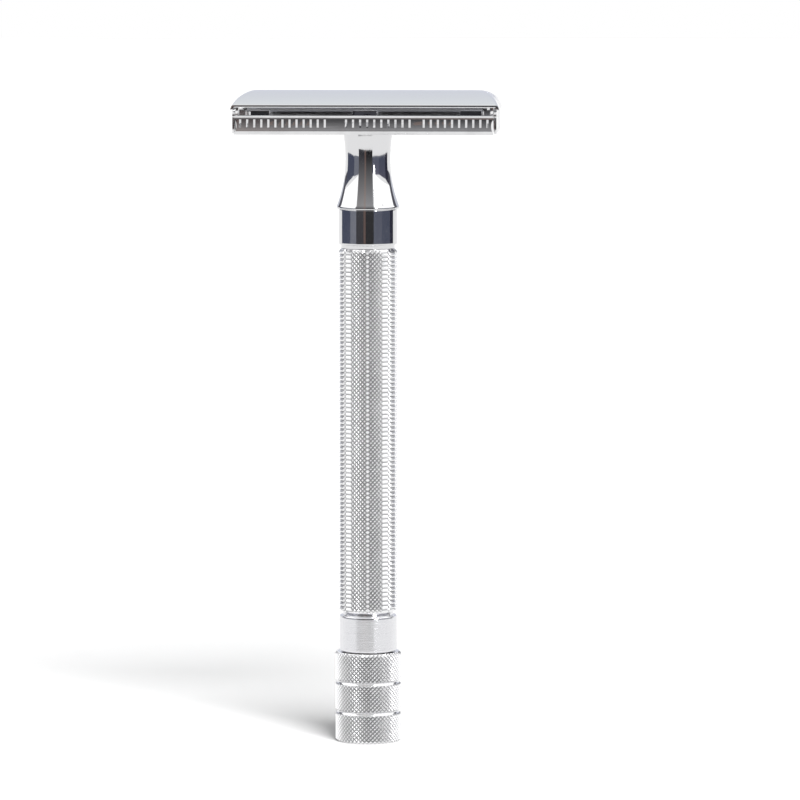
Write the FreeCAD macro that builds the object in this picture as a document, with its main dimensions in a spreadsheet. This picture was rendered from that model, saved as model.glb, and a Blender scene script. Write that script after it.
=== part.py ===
"""Twist-to-open double-edge safety razor, as a parametric FreeCAD document.

Frame: millimetres, +Z up the handle, origin at the centre of the knob's flat foot.
X runs along the blade, and the front door and front guard are on the -Y side.

Turning the knob turns a nut inside the handle. The nut lifts a rod, the rod lifts a bar under
the head, and the bar's four pins swing the two doors of the cap open like wings.
"""

import FreeCAD
import Part
import Sketcher
import math
import os

ALONG_X = FreeCAD.Rotation(FreeCAD.Vector(0, 1, 0), 90)
ALONG_Y = FreeCAD.Rotation(FreeCAD.Vector(1, 0, 0), -90)

SIZES = [
    # alias, value in mm or degrees, meaning
    ("knob_radius", 5.6, "turning knob, outer radius"),
    ("knob_height", 15.3, "turning knob, height"),
    ("knob_bands", 3, "knurled bands on the knob"),
    ("knob_edge", 0.4, "chamfer of the knob's foot and top"),
    ("band_groove_depth", 0.45, "groove between two bands, depth"),
    ("band_groove_width", 0.9, "groove between two bands, width at the surface"),
    ("knob_bore_floor", 4.0, "solid foot of the knob under its bore"),
    ("washer_radius", 4.1, "thrust washer, outer radius"),
    ("washer_height", 0.95, "thrust washer, thickness"),
    ("washer_play", 0.05, "clearance all round the thrust washer"),
    ("ferrule_radius", 4.85, "smooth ring above the knob, radius"),
    ("ferrule_top", 21.5, "smooth ring, upper edge"),
    ("ferrule_edge", 0.4, "smooth ring, chamfer"),
    ("ferrule_waist", 4.25, "recess between the smooth ring and the barrel, radius"),
    ("ferrule_plug_top", 35.6, "upper end of the ferrule's plug inside the barrel"),
    ("knob_gap", 0.1, "running gap between knob and ferrule"),
    ("barrel_radius", 5.0, "knurled barrel, outer radius"),
    ("barrel_bore", 3.6, "knurled barrel, bore radius"),
    ("barrel_bottom", 22.2, "knurled barrel, lower end"),
    ("barrel_top", 83.7, "knurled barrel, upper end"),
    ("barrel_edge", 0.55, "knurled barrel, chamfer"),
    ("collar_radius", 4.93, "bright collar, radius"),
    ("collar_waist", 4.55, "recess between barrel and collar, radius"),
    ("collar_bottom", 84.4, "bright collar, lower edge"),
    ("collar_top", 90.4, "bright collar, upper edge"),
    ("collar_edge", 0.18, "bright collar, chamfer"),
    ("collar_plug_bottom", 72.0, "lower end of the collar's plug inside the barrel"),
    ("collar_socket", 3.0, "socket in the collar for the neck, radius"),
    ("collar_bore", 1.75, "clearance bore through the collar's plug, radius"),
    ("neck_rim", 5.3, "rim at the foot of the neck, radius"),
    ("neck_rim_height", 0.35, "rim at the foot of the neck, height"),
    ("neck_rim_edge", 0.1, "rim at the foot of the neck, chamfer"),
    ("neck_waist", 3.8, "waist of the neck, radius"),
    ("neck_waist_z", 98.7, "waist of the neck, height"),
    ("neck_flare", 22.0, "curve of the flare below the waist, radius"),
    ("neck_head", 4.07, "neck under the head, radius"),
    ("neck_head_z", 102.7, "where the neck becomes straight, height"),
    ("neck_swell", 30.0, "curve above the waist, radius"),
    ("neck_bore", 1.62, "bore for the rod, radius"),
    ("bar_slot_floor", 103.05, "floor of the slot across the neck for the lift bar"),
    ("bar_slot_half", 1.1, "half width of that slot"),
    ("rod_radius", 1.55, "lift rod, radius"),
    ("rod_bottom", 17.0, "lift rod, lower end"),
    ("tenon_radius", 0.7, "riveted tip of the rod in the lift bar, radius"),
    ("bush_bottom", 48.0, "guide bush in the barrel, lower end"),
    ("bush_top", 54.0, "guide bush in the barrel, upper end"),
    ("bush_play", 0.1, "clearance between guide bush and rod"),
    ("sleeve_radius", 2.8, "drive sleeve, outer radius"),
    ("sleeve_bore", 2.1, "drive sleeve, bore radius"),
    ("sleeve_top", 36.9, "drive sleeve, upper end"),
    ("sleeve_play", 0.05, "running clearance between sleeve and ferrule"),
    ("ring_groove", 2.5, "groove for the retaining ring, radius"),
    ("ring_radius", 3.4, "retaining ring, outer radius"),
    ("ring_height", 0.5, "retaining ring, thickness"),
    ("ring_play", 0.05, "clearance above and below the retaining ring"),
    ("ring_split_half", 0.6, "half width of the split in the retaining ring"),
    ("nut_bottom", 24.0, "drive nut, lower end"),
    ("nut_top", 34.0, "drive nut, upper end"),
    ("nut_bore", 1.6, "drive nut, bore at the crest of its thread"),
    ("stop_radius", 2.0, "stop collar on the rod, radius"),
    ("stop_bottom", 18.4, "stop collar on the rod, lower face"),
    ("lift_travel", 3.6, "travel of the lift bar"),
    ("stop_play", 0.1, "gap left at the end of the travel"),
    ("ridge_z", 110.4, "ridge where the two doors meet"),
    ("crown_radius", 24.0, "curve of the doors' top"),
    ("door_wall", 0.5, "thickness of the doors' crown"),
    ("door_reach", 10.3, "from the ridge to the door's long edge"),
    ("door_seam", 0.05, "half of the gap between the doors"),
    ("hip_start", 18.4, "where the doors' ends begin to curve down"),
    ("hip_radius", 4.1, "curve of the doors' ends"),
    ("hip_wall", 0.35, "thickness of the doors' ends"),
    ("door_skirt_z", 107.3, "lower edge of the doors' ends"),
    ("pivot_reach", 10.5, "door pivot, distance from the middle plane"),
    ("pivot_z", 106.35, "door pivot, height"),
    ("pivot_radius", 0.45, "door pivot pin, radius"),
    ("pivot_hole", 0.5, "door pivot hole, radius"),
    ("pivot_boss", 0.95, "rounded foot of the door's ear, radius"),
    ("ear_inner", 21.0, "inner face of the ears"),
    ("ear_outer", 21.43, "outer face of the ears"),
    ("arm_half", 1.0, "half width of the ear's slotted arm"),
    ("arm_slot_half", 0.6, "half width of the slot in the arm"),
    ("arm_slot_start", 2.1, "near end of that slot from the pivot"),
    ("arm_slot_end", 2.85, "far end of that slot from the pivot"),
    ("arm_angle", 40.0, "slope of the arm below level with the doors shut"),
    ("web_inner", 7.2, "inner edge of the ear's web"),
    ("web_outer", 10.2, "outer edge of the ear's web"),
    ("web_bottom", 105.6, "lower edge of the ear's web"),
    ("lift_pin_radius", 0.4, "lift pin, radius"),
    ("lift_pin_end", 21.47, "outer end of a lift pin"),
    ("fork_inner", 20.35, "inner face of the bar's end forks"),
    ("fork_outer", 20.85, "outer face of the bar's end forks"),
    ("fork_eye", 0.8, "rounded end of a fork, radius"),
    ("bar_half", 1.0, "half width of the lift bar"),
    ("bar_bottom", 103.2, "lift bar, lower face"),
    ("bar_height", 0.7, "lift bar, thickness"),
    ("blade_top_z", 108.37, "blade's upper face at the middle plane"),
    ("blade_curve", 58.0, "blade's curve when clamped, radius"),
    ("blade_wall", 0.1, "blade, thickness"),
    ("blade_reach", 10.95, "from the middle plane to the cutting edge"),
    ("blade_bevel", 0.35, "width of the ground bevel"),
    ("blade_half_length", 21.45, "half the blade's length"),
    ("edge_half_length", 19.6, "half the length of a cutting edge"),
    ("tab_half", 6.4, "half width of the blade's end tabs"),
    ("blade_slot_half", 0.9, "half width of the blade's middle slot"),
    ("blade_slot_end", 16.5, "where that slot ends"),
    ("blade_hole", 2.9, "hole in the middle of the blade, radius"),
    ("locator_x", 12.0, "locating pins, distance from the handle's axis"),
    ("locator_head", 1.5, "locating pin, radius above the bed"),
    ("locator_shank", 0.7, "locating pin, radius in the bed"),
    ("locator_height", 0.55, "locating pin, height above the bed"),
    ("blade_eye", 1.62, "holes in the blade for the locating pins, radius"),
    ("blade_play", 0.05, "gap above and below the blade"),
    ("tray_wall", 0.5, "thickness of the tray's sheet"),
    ("tray_half_length", 21.5, "half the length of the guard bars"),
    ("bed_reach", 9.25, "half width of the bed"),
    ("valley_inner", 10.05, "inner foot of the lather valley"),
    ("valley_outer", 10.9, "outer foot of the lather valley"),
    ("valley_z", 105.3, "middle of the sheet in the valley"),
    ("crest_inner", 11.75, "inner foot of the guard's crest"),
    ("crest_inner_z", 106.15, "its height"),
    ("crest_radius", 0.36, "curve of the crest"),
    ("crest_outer", 12.34, "outer foot of the crest"),
    ("crest_outer_z", 105.82, "its height"),
    ("face_curve", 6.0, "hollow curve of the guard's face"),
    ("face_foot", 12.7, "foot of the guard's face"),
    ("face_foot_z", 103.8, "its height"),
    ("lip_curve", 0.9, "outward curl of the lip"),
    ("lip_reach", 12.93, "middle of the sheet at the lip"),
    ("lip_z", 103.45, "its height"),
    ("bed_end", 20.25, "end of the bed, clear of the forks"),
    ("fork_bay", 9.35, "half width of the bay for the forks"),
    ("ear_bay_start", 20.9, "start of the bay for the ears"),
    ("ear_bay", 11.6, "half width of the bay for the ears"),
    ("lug_start", 19.85, "blade-stop lug, inner face"),
    ("lug_outer", 10.2, "blade-stop lug, outer side"),
    ("lug_top", 107.2, "blade-stop lug, top"),
    ("guard_slots", 36, "places for slots along a guard bar"),
    ("guard_slot_first", 20.5, "outermost slot, distance from the middle"),
    ("guard_slot_width", 0.36, "width of a guard slot"),
    ("guard_slot_bottom", 104.45, "lower end of a guard slot"),
    ("guard_slot_top", 105.8, "upper end of a guard slot"),
    ("guard_slot_inner", 11.95, "where a guard slot's cut ends inside"),
    ("lather_middle", 2.0, "half length of the middle lather slot"),
    ("lather_outer_start", 15.9, "outer lather slots, inner end"),
    ("lather_outer_end", 19.4, "outer lather slots, outer end"),
    ("lather_inner", 8.95, "lather slots, side near the bed"),
    ("lather_outer", 11.25, "lather slots, side near the guard"),
    ("lather_top", 107.15, "upper end of the lather slots"),
    ("scallop_radius", 2.3, "hollow in the ends of the guard bars, radius"),
    ("scallop_depth", 0.4, "its depth"),
    ("scallop_z", 104.7, "its height"),
    ("guide_inner", 1.4, "guides above the lift bar, inner face"),
    ("guide_outer", 1.8, "guides above the lift bar, outer face"),
    ("guide_start", 4.3, "guides, end near the neck"),
    ("guide_end", 19.6, "guides, end near the forks"),
    ("guide_bottom", 105.3, "guides, lower edge"),
    ("rivet_y", 2.7, "rivets that hold the tray on the neck, distance from the axis"),
    ("rivet_radius", 0.6, "those rivets, radius"),
    ("rivet_bottom", 105.0, "their lower ends"),
    ("rivet_sunk", 0.12, "how far their heads lie below the top of the bed"),
    ("plate_inner", 21.53, "end plate, inner face"),
    ("plate_outer", 21.93, "end plate, outer face"),
    ("plate_bottom", 103.4, "end plate, lower edge"),
    ("plate_shoulder", 106.0, "end plate, height of its wide part"),
    ("plate_reach", 11.2, "end plate, half width"),
    ("plate_boss", 0.7, "end plate, curve round the pivot"),
]

GUARD_PLAIN = (13, 14, 25)  # places along a guard bar that have no slot
PAST = 1.0  # how far a cut runs past the metal it goes through


class Size:
    """A number together with the sheet expression that gives it."""

    def __init__(self, value, text):
        self.value = value
        self.text = text

    @staticmethod
    def of(other):
        return other if isinstance(other, Size) else Size(float(other), "(%.9g)" % other)

    def joined(self, sign, other, value):
        return Size(value, "(%s %s %s)" % (self.text, sign, other.text))

    def __add__(self, other):
        other = Size.of(other)
        return self.joined("+", other, self.value + other.value)

    def __sub__(self, other):
        other = Size.of(other)
        return self.joined("-", other, self.value - other.value)

    def __mul__(self, other):
        other = Size.of(other)
        return self.joined("*", other, self.value * other.value)

    def __truediv__(self, other):
        other = Size.of(other)
        return self.joined("/", other, self.value / other.value)

    def __radd__(self, other):
        return Size.of(other) + self

    def __rsub__(self, other):
        return Size.of(other) - self

    def __rmul__(self, other):
        return Size.of(other) * self

    def __neg__(self):
        return Size(-self.value, "(0 - %s)" % self.text)

    def root(self):
        return Size(math.sqrt(self.value), "sqrt(%s)" % self.text)

    def cosine(self):
        return Size(math.cos(math.radians(self.value)), "cos(%s * 1 deg)" % self.text)

    def sine(self):
        return Size(math.sin(math.radians(self.value)), "sin(%s * 1 deg)" % self.text)


class Cells:
    """The driving dimensions, by name."""


def make_sheet(doc):
    sheet = doc.addObject("Spreadsheet::Sheet", "Sizes")
    cells = Cells()
    for row, (alias, value, meaning) in enumerate(SIZES, start=1):
        sheet.set("A%d" % row, meaning)
        sheet.set("B%d" % row, str(value))
        sheet.setAlias("B%d" % row, alias)
        setattr(cells, alias, Size(value, "Sizes." + alias))
    doc.recompute()
    return cells


doc = FreeCAD.newDocument("safety_razor")
s = make_sheet(doc)


# ---------- ways of making things ----------


def bind(thing, **sizes):
    """Ties each property to its expression."""
    for name, size in sizes.items():
        thing.setExpression(name, Size.of(size).text)
    return thing


def place(thing, x=0, y=0, z=0):
    """Ties the object's position to its expressions."""
    for axis, size in (("x", x), ("y", y), ("z", z)):
        thing.setExpression(".Placement.Base." + axis, Size.of(size).text)
    return thing


def box(name, x, y, z):
    """A block between pairs of coordinates."""
    made = doc.addObject("Part::Box", name)
    bind(made, Length=x[1] - x[0], Width=y[1] - y[0], Height=z[1] - z[0])
    return place(made, x[0], y[0], z[0])


def rod(name, radius, length, x=0, y=0, z=0, along=None):
    """A cylinder from a point, along Z or turned along X or Y."""
    made = doc.addObject("Part::Cylinder", name)
    if along:
        made.Placement = FreeCAD.Placement(FreeCAD.Vector(), along)
    bind(made, Radius=radius, Height=length)
    return place(made, x, y, z)


def fused(name, *things):
    made = doc.addObject("Part::MultiFuse", name)
    made.Shapes = list(things)
    return made


def common(name, *things):
    made = doc.addObject("Part::MultiCommon", name)
    made.Shapes = list(things)
    return made


def group(name, things):
    made = doc.addObject("Part::Compound", name)
    made.Links = list(things)
    return made


def cut(name, base, *tools):
    made = doc.addObject("Part::Cut", name)
    made.Base = base
    made.Tool = tools[0] if len(tools) == 1 else group(name + "_tools", tools)
    return made


def mirrored(name, source, normal):
    made = doc.addObject("Part::Mirroring", name)
    made.Source = source
    made.Normal = FreeCAD.Vector(*normal)
    return made


def point(corner):
    return FreeCAD.Vector(corner[0].value, corner[1].value, 0)


def arc_middle(start, end, bend):
    """The middle of an arc from start to end. Its centre is on the left for a positive bend."""
    chord = end - start
    left = FreeCAD.Vector(-chord.y, chord.x, 0).normalize()
    half = chord.Length / 2
    sagitta = abs(bend) - math.sqrt(bend * bend - half * half)
    return (start + end) / 2 - left * math.copysign(sagitta, bend)


def draw(sketch, corners, closed=True):
    """Draws lines, or arcs where a corner has a third value, and ties every corner to the sheet.

    The third value is the radius of the arc that leads to the corner, negative if its centre is on
    the right.
    """
    corners = [tuple(Size.of(v) for v in corner) for corner in corners]
    count = len(corners)
    first = 0 if closed else 1
    ends = []
    for n in range(first, count):
        before, after = corners[n - 1], corners[n]
        start, end = point(before), point(after)
        if len(after) == 3:
            middle = arc_middle(start, end, after[2].value)
            edge = sketch.addGeometry(Part.Arc(start, middle, end), False)
            tie(sketch, positive(after[2]), "Radius", edge)
        else:
            edge = sketch.addGeometry(Part.LineSegment(start, end), False)
        starts_here = (sketch.getPoint(edge, 1) - start).Length < 1e-6
        ends.append((edge, 1, 2) if starts_here else (edge, 2, 1))
    for n, (edge, _, tail) in enumerate(ends):
        corner = corners[n + first]
        tie(sketch, corner[0], "DistanceX", -1, 1, edge, tail)
        tie(sketch, corner[1], "DistanceY", -1, 1, edge, tail)
        if n + 1 < len(ends) or closed:
            after = ends[(n + 1) % len(ends)]
            sketch.addConstraint(Sketcher.Constraint("Coincident", edge, tail, after[0], after[1]))
    if not closed:
        edge, head, _ = ends[0]
        tie(sketch, corners[0][0], "DistanceX", -1, 1, edge, head)
        tie(sketch, corners[0][1], "DistanceY", -1, 1, edge, head)


def tie(sketch, size, *rule):
    """Adds a dimension to the sketch and ties it to its expression."""
    row = sketch.addConstraint(Sketcher.Constraint(*rule, size.value))
    sketch.setExpression("Constraints[%d]" % row, size.text)


def positive(size):
    return size if size.value > 0 else -size


def plane_of(body, role):
    return next(f for f in body.Origin.OriginFeatures if f.Role == role)


def sketch_on(body, role, corners):
    sketch = body.newObject("Sketcher::SketchObject", body.Name + "_outline")
    sketch.AttachmentSupport = [(plane_of(body, role), "")]
    sketch.MapMode = "FlatFace"
    draw(sketch, corners)
    return sketch


def turned(name, corners):
    """A piece turned on a lathe: its half section, (radius, height) by corner, goes round Z."""
    body = doc.addObject("PartDesign::Body", name)
    sketch = sketch_on(body, "XZ_Plane", corners)
    turn = body.newObject("PartDesign::Revolution", name + "_turn")
    turn.Profile = sketch
    turn.ReferenceAxis = (sketch, ["V_Axis"])
    turn.Angle = 360
    sketch.Visibility = False
    return body


def pressed(name, corners, half_length):
    """A piece whose section, (y, z) by corner, runs along X to both sides of the middle."""
    body = doc.addObject("PartDesign::Body", name)
    sketch = sketch_on(body, "YZ_Plane", corners)
    pad = body.newObject("PartDesign::Pad", name + "_pad")
    pad.Profile = sketch
    pad.SideType = "Symmetric"
    bind(pad, Length=2 * half_length)
    return body


# ---------- knob and drive ----------


def make_knob():
    """Three knurled bands with grooves between them, a blind bore and a recess for the washer."""
    outline = [(0, 0), (s.knob_radius - s.knob_edge, 0), (s.knob_radius, s.knob_edge)]
    floor = s.knob_radius - s.band_groove_depth
    half = s.band_groove_width / 2
    for band in range(1, int(s.knob_bands.value)):
        middle = s.knob_height * band / s.knob_bands
        outline += [
            (s.knob_radius, middle - half),
            (floor, middle - half / 3),
            (floor, middle + half / 3),
            (s.knob_radius, middle + half),
        ]
    recess = s.washer_radius + 2 * s.washer_play
    recess_floor = s.knob_height + s.knob_gap - s.washer_height - 2 * s.washer_play
    outline += [
        (s.knob_radius, s.knob_height - s.knob_edge),
        (s.knob_radius - s.knob_edge, s.knob_height),
        (recess, s.knob_height),
        (recess, recess_floor),
        (s.sleeve_radius, recess_floor),
        (s.sleeve_radius, s.knob_bore_floor),
        (0, s.knob_bore_floor),
    ]
    return turned("knob", outline)


def make_thrust_washer():
    bottom = s.knob_height + s.knob_gap - s.washer_height - s.washer_play
    inner = s.sleeve_radius + s.sleeve_play
    return turned(
        "thrust_washer",
        [
            (inner, bottom),
            (s.washer_radius, bottom),
            (s.washer_radius, bottom + s.washer_height),
            (inner, bottom + s.washer_height),
        ],
    )


def make_drive_sleeve():
    """Tube pressed into the knob. The retaining ring's groove is near its top."""
    groove_bottom = s.ferrule_plug_top + s.ring_play
    groove_top = groove_bottom + s.ring_height + 2 * s.ring_play
    return turned(
        "drive_sleeve",
        [
            (s.sleeve_bore, s.knob_bore_floor),
            (s.sleeve_radius, s.knob_bore_floor),
            (s.sleeve_radius, groove_bottom),
            (s.ring_groove, groove_bottom),
            (s.ring_groove, groove_top),
            (s.sleeve_radius, groove_top),
            (s.sleeve_radius, s.sleeve_top),
            (s.sleeve_bore, s.sleeve_top),
        ],
    )


def make_retaining_ring():
    """Split spring ring in the sleeve's groove, above the ferrule's plug."""
    bottom = s.ferrule_plug_top + 2 * s.ring_play
    ring = turned(
        "ring_blank",
        [
            (s.ring_groove, bottom),
            (s.ring_radius, bottom),
            (s.ring_radius, bottom + s.ring_height),
            (s.ring_groove, bottom + s.ring_height),
        ],
    )
    split = box(
        "ring_split",
        (-s.ring_split_half, s.ring_split_half),
        (Size.of(0), s.ring_radius + PAST),
        (bottom - PAST, bottom + s.ring_height + PAST),
    )
    return cut("retaining_ring", ring, split)


def tube(name, inner, outer, bottom, top):
    return turned(name, [(inner, bottom), (outer, bottom), (outer, top), (inner, top)])


def make_lift_rod():
    """Slender rod from the stop collar up to its riveted tip in the lift bar."""
    return turned(
        "lift_rod",
        [
            (0, s.rod_bottom),
            (s.rod_radius, s.rod_bottom),
            (s.rod_radius, s.bar_bottom),
            (s.tenon_radius, s.bar_bottom),
            (s.tenon_radius, s.bar_bottom + s.bar_height),
            (0, s.bar_bottom + s.bar_height),
        ],
    )


# ---------- handle ----------


def make_ferrule():
    """Smooth ring that the knob turns against, with a plug in the barrel and a bore for the sleeve."""
    bore = s.sleeve_radius + s.sleeve_play
    bottom = s.knob_height + s.knob_gap
    return turned(
        "lower_ferrule",
        [
            (bore, bottom),
            (s.ferrule_radius - s.ferrule_edge / 2, bottom),
            (s.ferrule_radius, bottom + s.ferrule_edge / 2),
            (s.ferrule_radius, s.ferrule_top - s.ferrule_edge),
            (s.ferrule_radius - s.ferrule_edge, s.ferrule_top),
            (s.ferrule_waist, s.ferrule_top),
            (s.ferrule_waist, s.barrel_bottom),
            (s.barrel_bore, s.barrel_bottom),
            (s.barrel_bore, s.ferrule_plug_top),
            (bore, s.ferrule_plug_top),
        ],
    )


def make_barrel():
    return turned(
        "barrel",
        [
            (s.barrel_bore, s.barrel_bottom),
            (s.barrel_radius - s.barrel_edge, s.barrel_bottom),
            (s.barrel_radius, s.barrel_bottom + s.barrel_edge),
            (s.barrel_radius, s.barrel_top - s.barrel_edge),
            (s.barrel_radius - s.barrel_edge, s.barrel_top),
            (s.barrel_bore, s.barrel_top),
        ],
    )


def make_collar():
    """Polished ring with a plug in the barrel below and a socket for the neck above."""
    return turned(
        "collar",
        [
            (s.collar_bore, s.collar_plug_bottom),
            (s.barrel_bore, s.collar_plug_bottom),
            (s.barrel_bore, s.barrel_top),
            (s.collar_waist, s.barrel_top),
            (s.collar_waist, s.collar_bottom),
            (s.collar_radius - s.collar_edge, s.collar_bottom),
            (s.collar_radius, s.collar_bottom + s.collar_edge),
            (s.collar_radius, s.collar_top - s.collar_edge),
            (s.collar_radius - s.collar_edge, s.collar_top),
            (s.collar_socket, s.collar_top),
            (s.collar_socket, s.collar_bottom),
            (s.collar_bore, s.collar_bottom),
        ],
    )


def bed_centre():
    """Height of the axis that the clamped blade and the bed curve about."""
    return s.blade_top_z - s.blade_curve


def bed_top_radius():
    return s.blade_curve - s.blade_wall - s.blade_play


def bed_top():
    return bed_centre() + bed_top_radius()


def under_bed(name, half_length):
    """A round bar along X that fills the space up to the bed's underside."""
    radius = bed_top_radius() - s.tray_wall
    return rod(name, radius, 2 * half_length, -half_length, 0, bed_centre(), ALONG_X)


def make_neck():
    """Flared neck, slotted across its top so that the lift bar can rise inside it."""
    tall = s.ridge_z
    blank = turned(
        "neck_blank",
        [
            (s.neck_bore, s.collar_bottom),
            (s.collar_socket, s.collar_bottom),
            (s.collar_socket, s.collar_top),
            (s.neck_rim - s.neck_rim_edge, s.collar_top),
            (s.neck_rim, s.collar_top + s.neck_rim_edge),
            (s.neck_rim, s.collar_top + s.neck_rim_height),
            (s.neck_waist, s.neck_waist_z, -s.neck_flare),
            (s.neck_head, s.neck_head_z, -s.neck_swell),
            (s.neck_head, tall),
            (s.neck_bore, tall),
        ],
    )
    wide = s.neck_rim + PAST
    trimmed = common("neck_trimmed", blank, under_bed("neck_under_bed", wide))
    slot = box(
        "neck_slot",
        (-wide, wide),
        (-s.bar_slot_half, s.bar_slot_half),
        (s.bar_slot_floor, tall),
    )
    return cut("neck", trimmed, slot, *rivet_rods("neck_rivet_hole"))


def rivet_rods(name):
    """Two upright rods where the rivets of the tray go."""
    top = bed_top() - s.rivet_sunk
    return [
        rod(name + str(n), s.rivet_radius, top - s.rivet_bottom, 0, y, s.rivet_bottom)
        for n, y in enumerate((-s.rivet_y, s.rivet_y))
    ]


# ---------- tray with its guard bars ----------


def tray_path():
    """Middle of the sheet, from the back lip over the bed to the front lip, as (y, z)."""
    bed_radius = bed_top_radius() - s.tray_wall / 2
    bed_edge_z = bed_centre() + (bed_radius * bed_radius - s.bed_reach * s.bed_reach).root()
    front = [
        (-s.valley_inner, s.valley_z),
        (-s.valley_outer, s.valley_z),
        (-s.crest_inner, s.crest_inner_z),
        (-s.crest_outer, s.crest_outer_z, s.crest_radius),
        (-s.face_foot, s.face_foot_z, -s.face_curve),
        (-s.lip_reach, s.lip_z, -s.lip_curve),
    ]
    back = [
        (s.lip_reach, s.lip_z),
        (s.face_foot, s.face_foot_z, -s.lip_curve),
        (s.crest_outer, s.crest_outer_z, -s.face_curve),
        (s.crest_inner, s.crest_inner_z, s.crest_radius),
        (s.valley_outer, s.valley_z),
        (s.valley_inner, s.valley_z),
    ]
    bed = [(s.bed_reach, bed_edge_z), (-s.bed_reach, bed_edge_z, bed_radius)]
    return back + bed + front


def make_tray_blank():
    path = doc.addObject("Sketcher::SketchObject", "tray_path")
    path.Placement = FreeCAD.Placement(
        FreeCAD.Vector(), FreeCAD.Rotation(FreeCAD.Vector(1, 1, 1), 120)
    )
    draw(path, tray_path(), closed=False)
    outline = doc.addObject("Part::Offset2D", "tray_outline")
    outline.Source = path
    outline.Mode = "Pipe"
    outline.Fill = True
    bind(outline, Value=s.tray_wall / 2)
    blank = doc.addObject("Part::Extrusion", "tray_blank")
    blank.Base = outline
    blank.DirMode = "Custom"
    blank.Dir = FreeCAD.Vector(1, 0, 0)
    blank.Solid = True
    blank.Symmetric = True
    bind(blank, LengthFwd=2 * s.tray_half_length)
    return blank


def sides(reach_inner, reach_outer):
    """The same stretch on the negative and on the positive side of the middle."""
    return ((-reach_outer, -reach_inner), (reach_inner, reach_outer))


def guard_slot_tools():
    """The fine slots of both guard bars, evenly spaced with a few places left plain."""
    pitch = 2 * s.guard_slot_first / (s.guard_slots - 1)
    height = (s.guard_slot_bottom, s.guard_slot_top)
    tools = []
    for n in range(int(s.guard_slots.value)):
        if n in GUARD_PLAIN:
            continue
        middle = n * pitch - s.guard_slot_first
        x = (middle - s.guard_slot_width / 2, middle + s.guard_slot_width / 2)
        for side, y in enumerate(sides(s.guard_slot_inner, s.lip_reach + PAST)):
            tools.append(box("guard_slot_%d_%d" % (n, side), x, y, height))
    return tools


def lather_slot_tools():
    """Three slots along each side, through the flank of the bed and the valley."""
    stretches = (
        (-s.lather_outer_end, -s.lather_outer_start),
        (-s.lather_middle, s.lather_middle),
        (s.lather_outer_start, s.lather_outer_end),
    )
    height = (s.valley_z - PAST, s.lather_top)
    return [
        box("lather_slot_%d_%d" % (n, side), x, y, height)
        for n, x in enumerate(stretches)
        for side, y in enumerate(sides(s.lather_inner, s.lather_outer))
    ]


def end_bay_tools():
    """Room at both ends for the forks, the ears and the hollow ends of the guard bars."""
    tools = []
    height = (s.plate_bottom - PAST, s.ridge_z)
    far = s.tray_half_length + PAST
    out = s.scallop_radius + s.tray_half_length - s.scallop_depth
    for end, name in ((-1, "left"), (1, "right")):
        for start, reach, kind in (
            (s.bed_end, s.fork_bay, "fork"),
            (s.ear_bay_start, s.ear_bay, "ear"),
        ):
            x = (-far, -start) if end < 0 else (start, far)
            tools.append(box("%s_bay_%s" % (kind, name), x, (-reach, reach), height))
        for side, (y, y_end) in enumerate(sides(s.ear_bay, s.lip_reach + PAST)):
            label = "scallop_%s_%d" % (name, side)
            round_end = (s.scallop_radius, y_end - y, end * out, y, s.scallop_z)
            tools.append(rod(label, *round_end, ALONG_Y))
    return tools


def blade_lugs():
    """Raised corners that stop the blade from sliding along."""
    lugs = []
    for n, x in enumerate(sides(s.lug_start, s.fork_outer)):
        for side, y in enumerate(sides(s.fork_bay, s.lug_outer)):
            lugs.append(box("lug_%d_%d" % (n, side), x, y, (s.valley_z, s.lug_top)))
    return lugs


def locator_rods(name, radius, bottom, top):
    return [
        rod(name + str(n), radius, top - bottom, x, 0, bottom)
        for n, x in enumerate((-s.locator_x, s.locator_x))
    ]


def make_tray():
    slotted = cut(
        "tray_slotted",
        make_tray_blank(),
        *guard_slot_tools(),
        *lather_slot_tools(),
        *end_bay_tools(),
    )
    lugged = fused("tray_lugged", slotted, *blade_lugs())
    holes = rivet_rods("tray_rivet_hole")
    under = bed_top() - s.tray_wall
    holes += locator_rods("tray_locator_hole", s.locator_shank, under - PAST, bed_top() + PAST)
    return cut("tray", lugged, *holes)


def make_locating_pins():
    """Two headed pins on the bed that the blade's holes drop over."""
    shanks = locator_rods(
        "locator_shank", s.locator_shank, bed_top() - s.tray_wall, bed_top()
    )
    heads = locator_rods(
        "locator_head", s.locator_head, bed_top(), bed_top() + s.locator_height
    )
    pins = [fused("locator%d" % n, a, b) for n, (a, b) in enumerate(zip(shanks, heads))]
    return group("blade_locating_pins", pins)


def make_neck_rivets():
    return group("neck_rivets", rivet_rods("neck_rivet"))


def make_bar_guides():
    """Four strips brazed under the bed, beside the lift bar, that keep it square as it rises."""
    guides = []
    for end, x in enumerate(sides(s.guide_start, s.guide_end)):
        for side, y in enumerate(sides(s.guide_inner, s.guide_outer)):
            label = "bar_guide_%d%d" % (end, side)
            strip = box(label + "_strip", x, y, (s.guide_bottom, s.ridge_z))
            guides.append(common(label, strip, under_bed(label + "_top", s.tray_half_length)))
    return group("bar_guides", guides)


# ---------- end plates and pivots ----------


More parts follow.
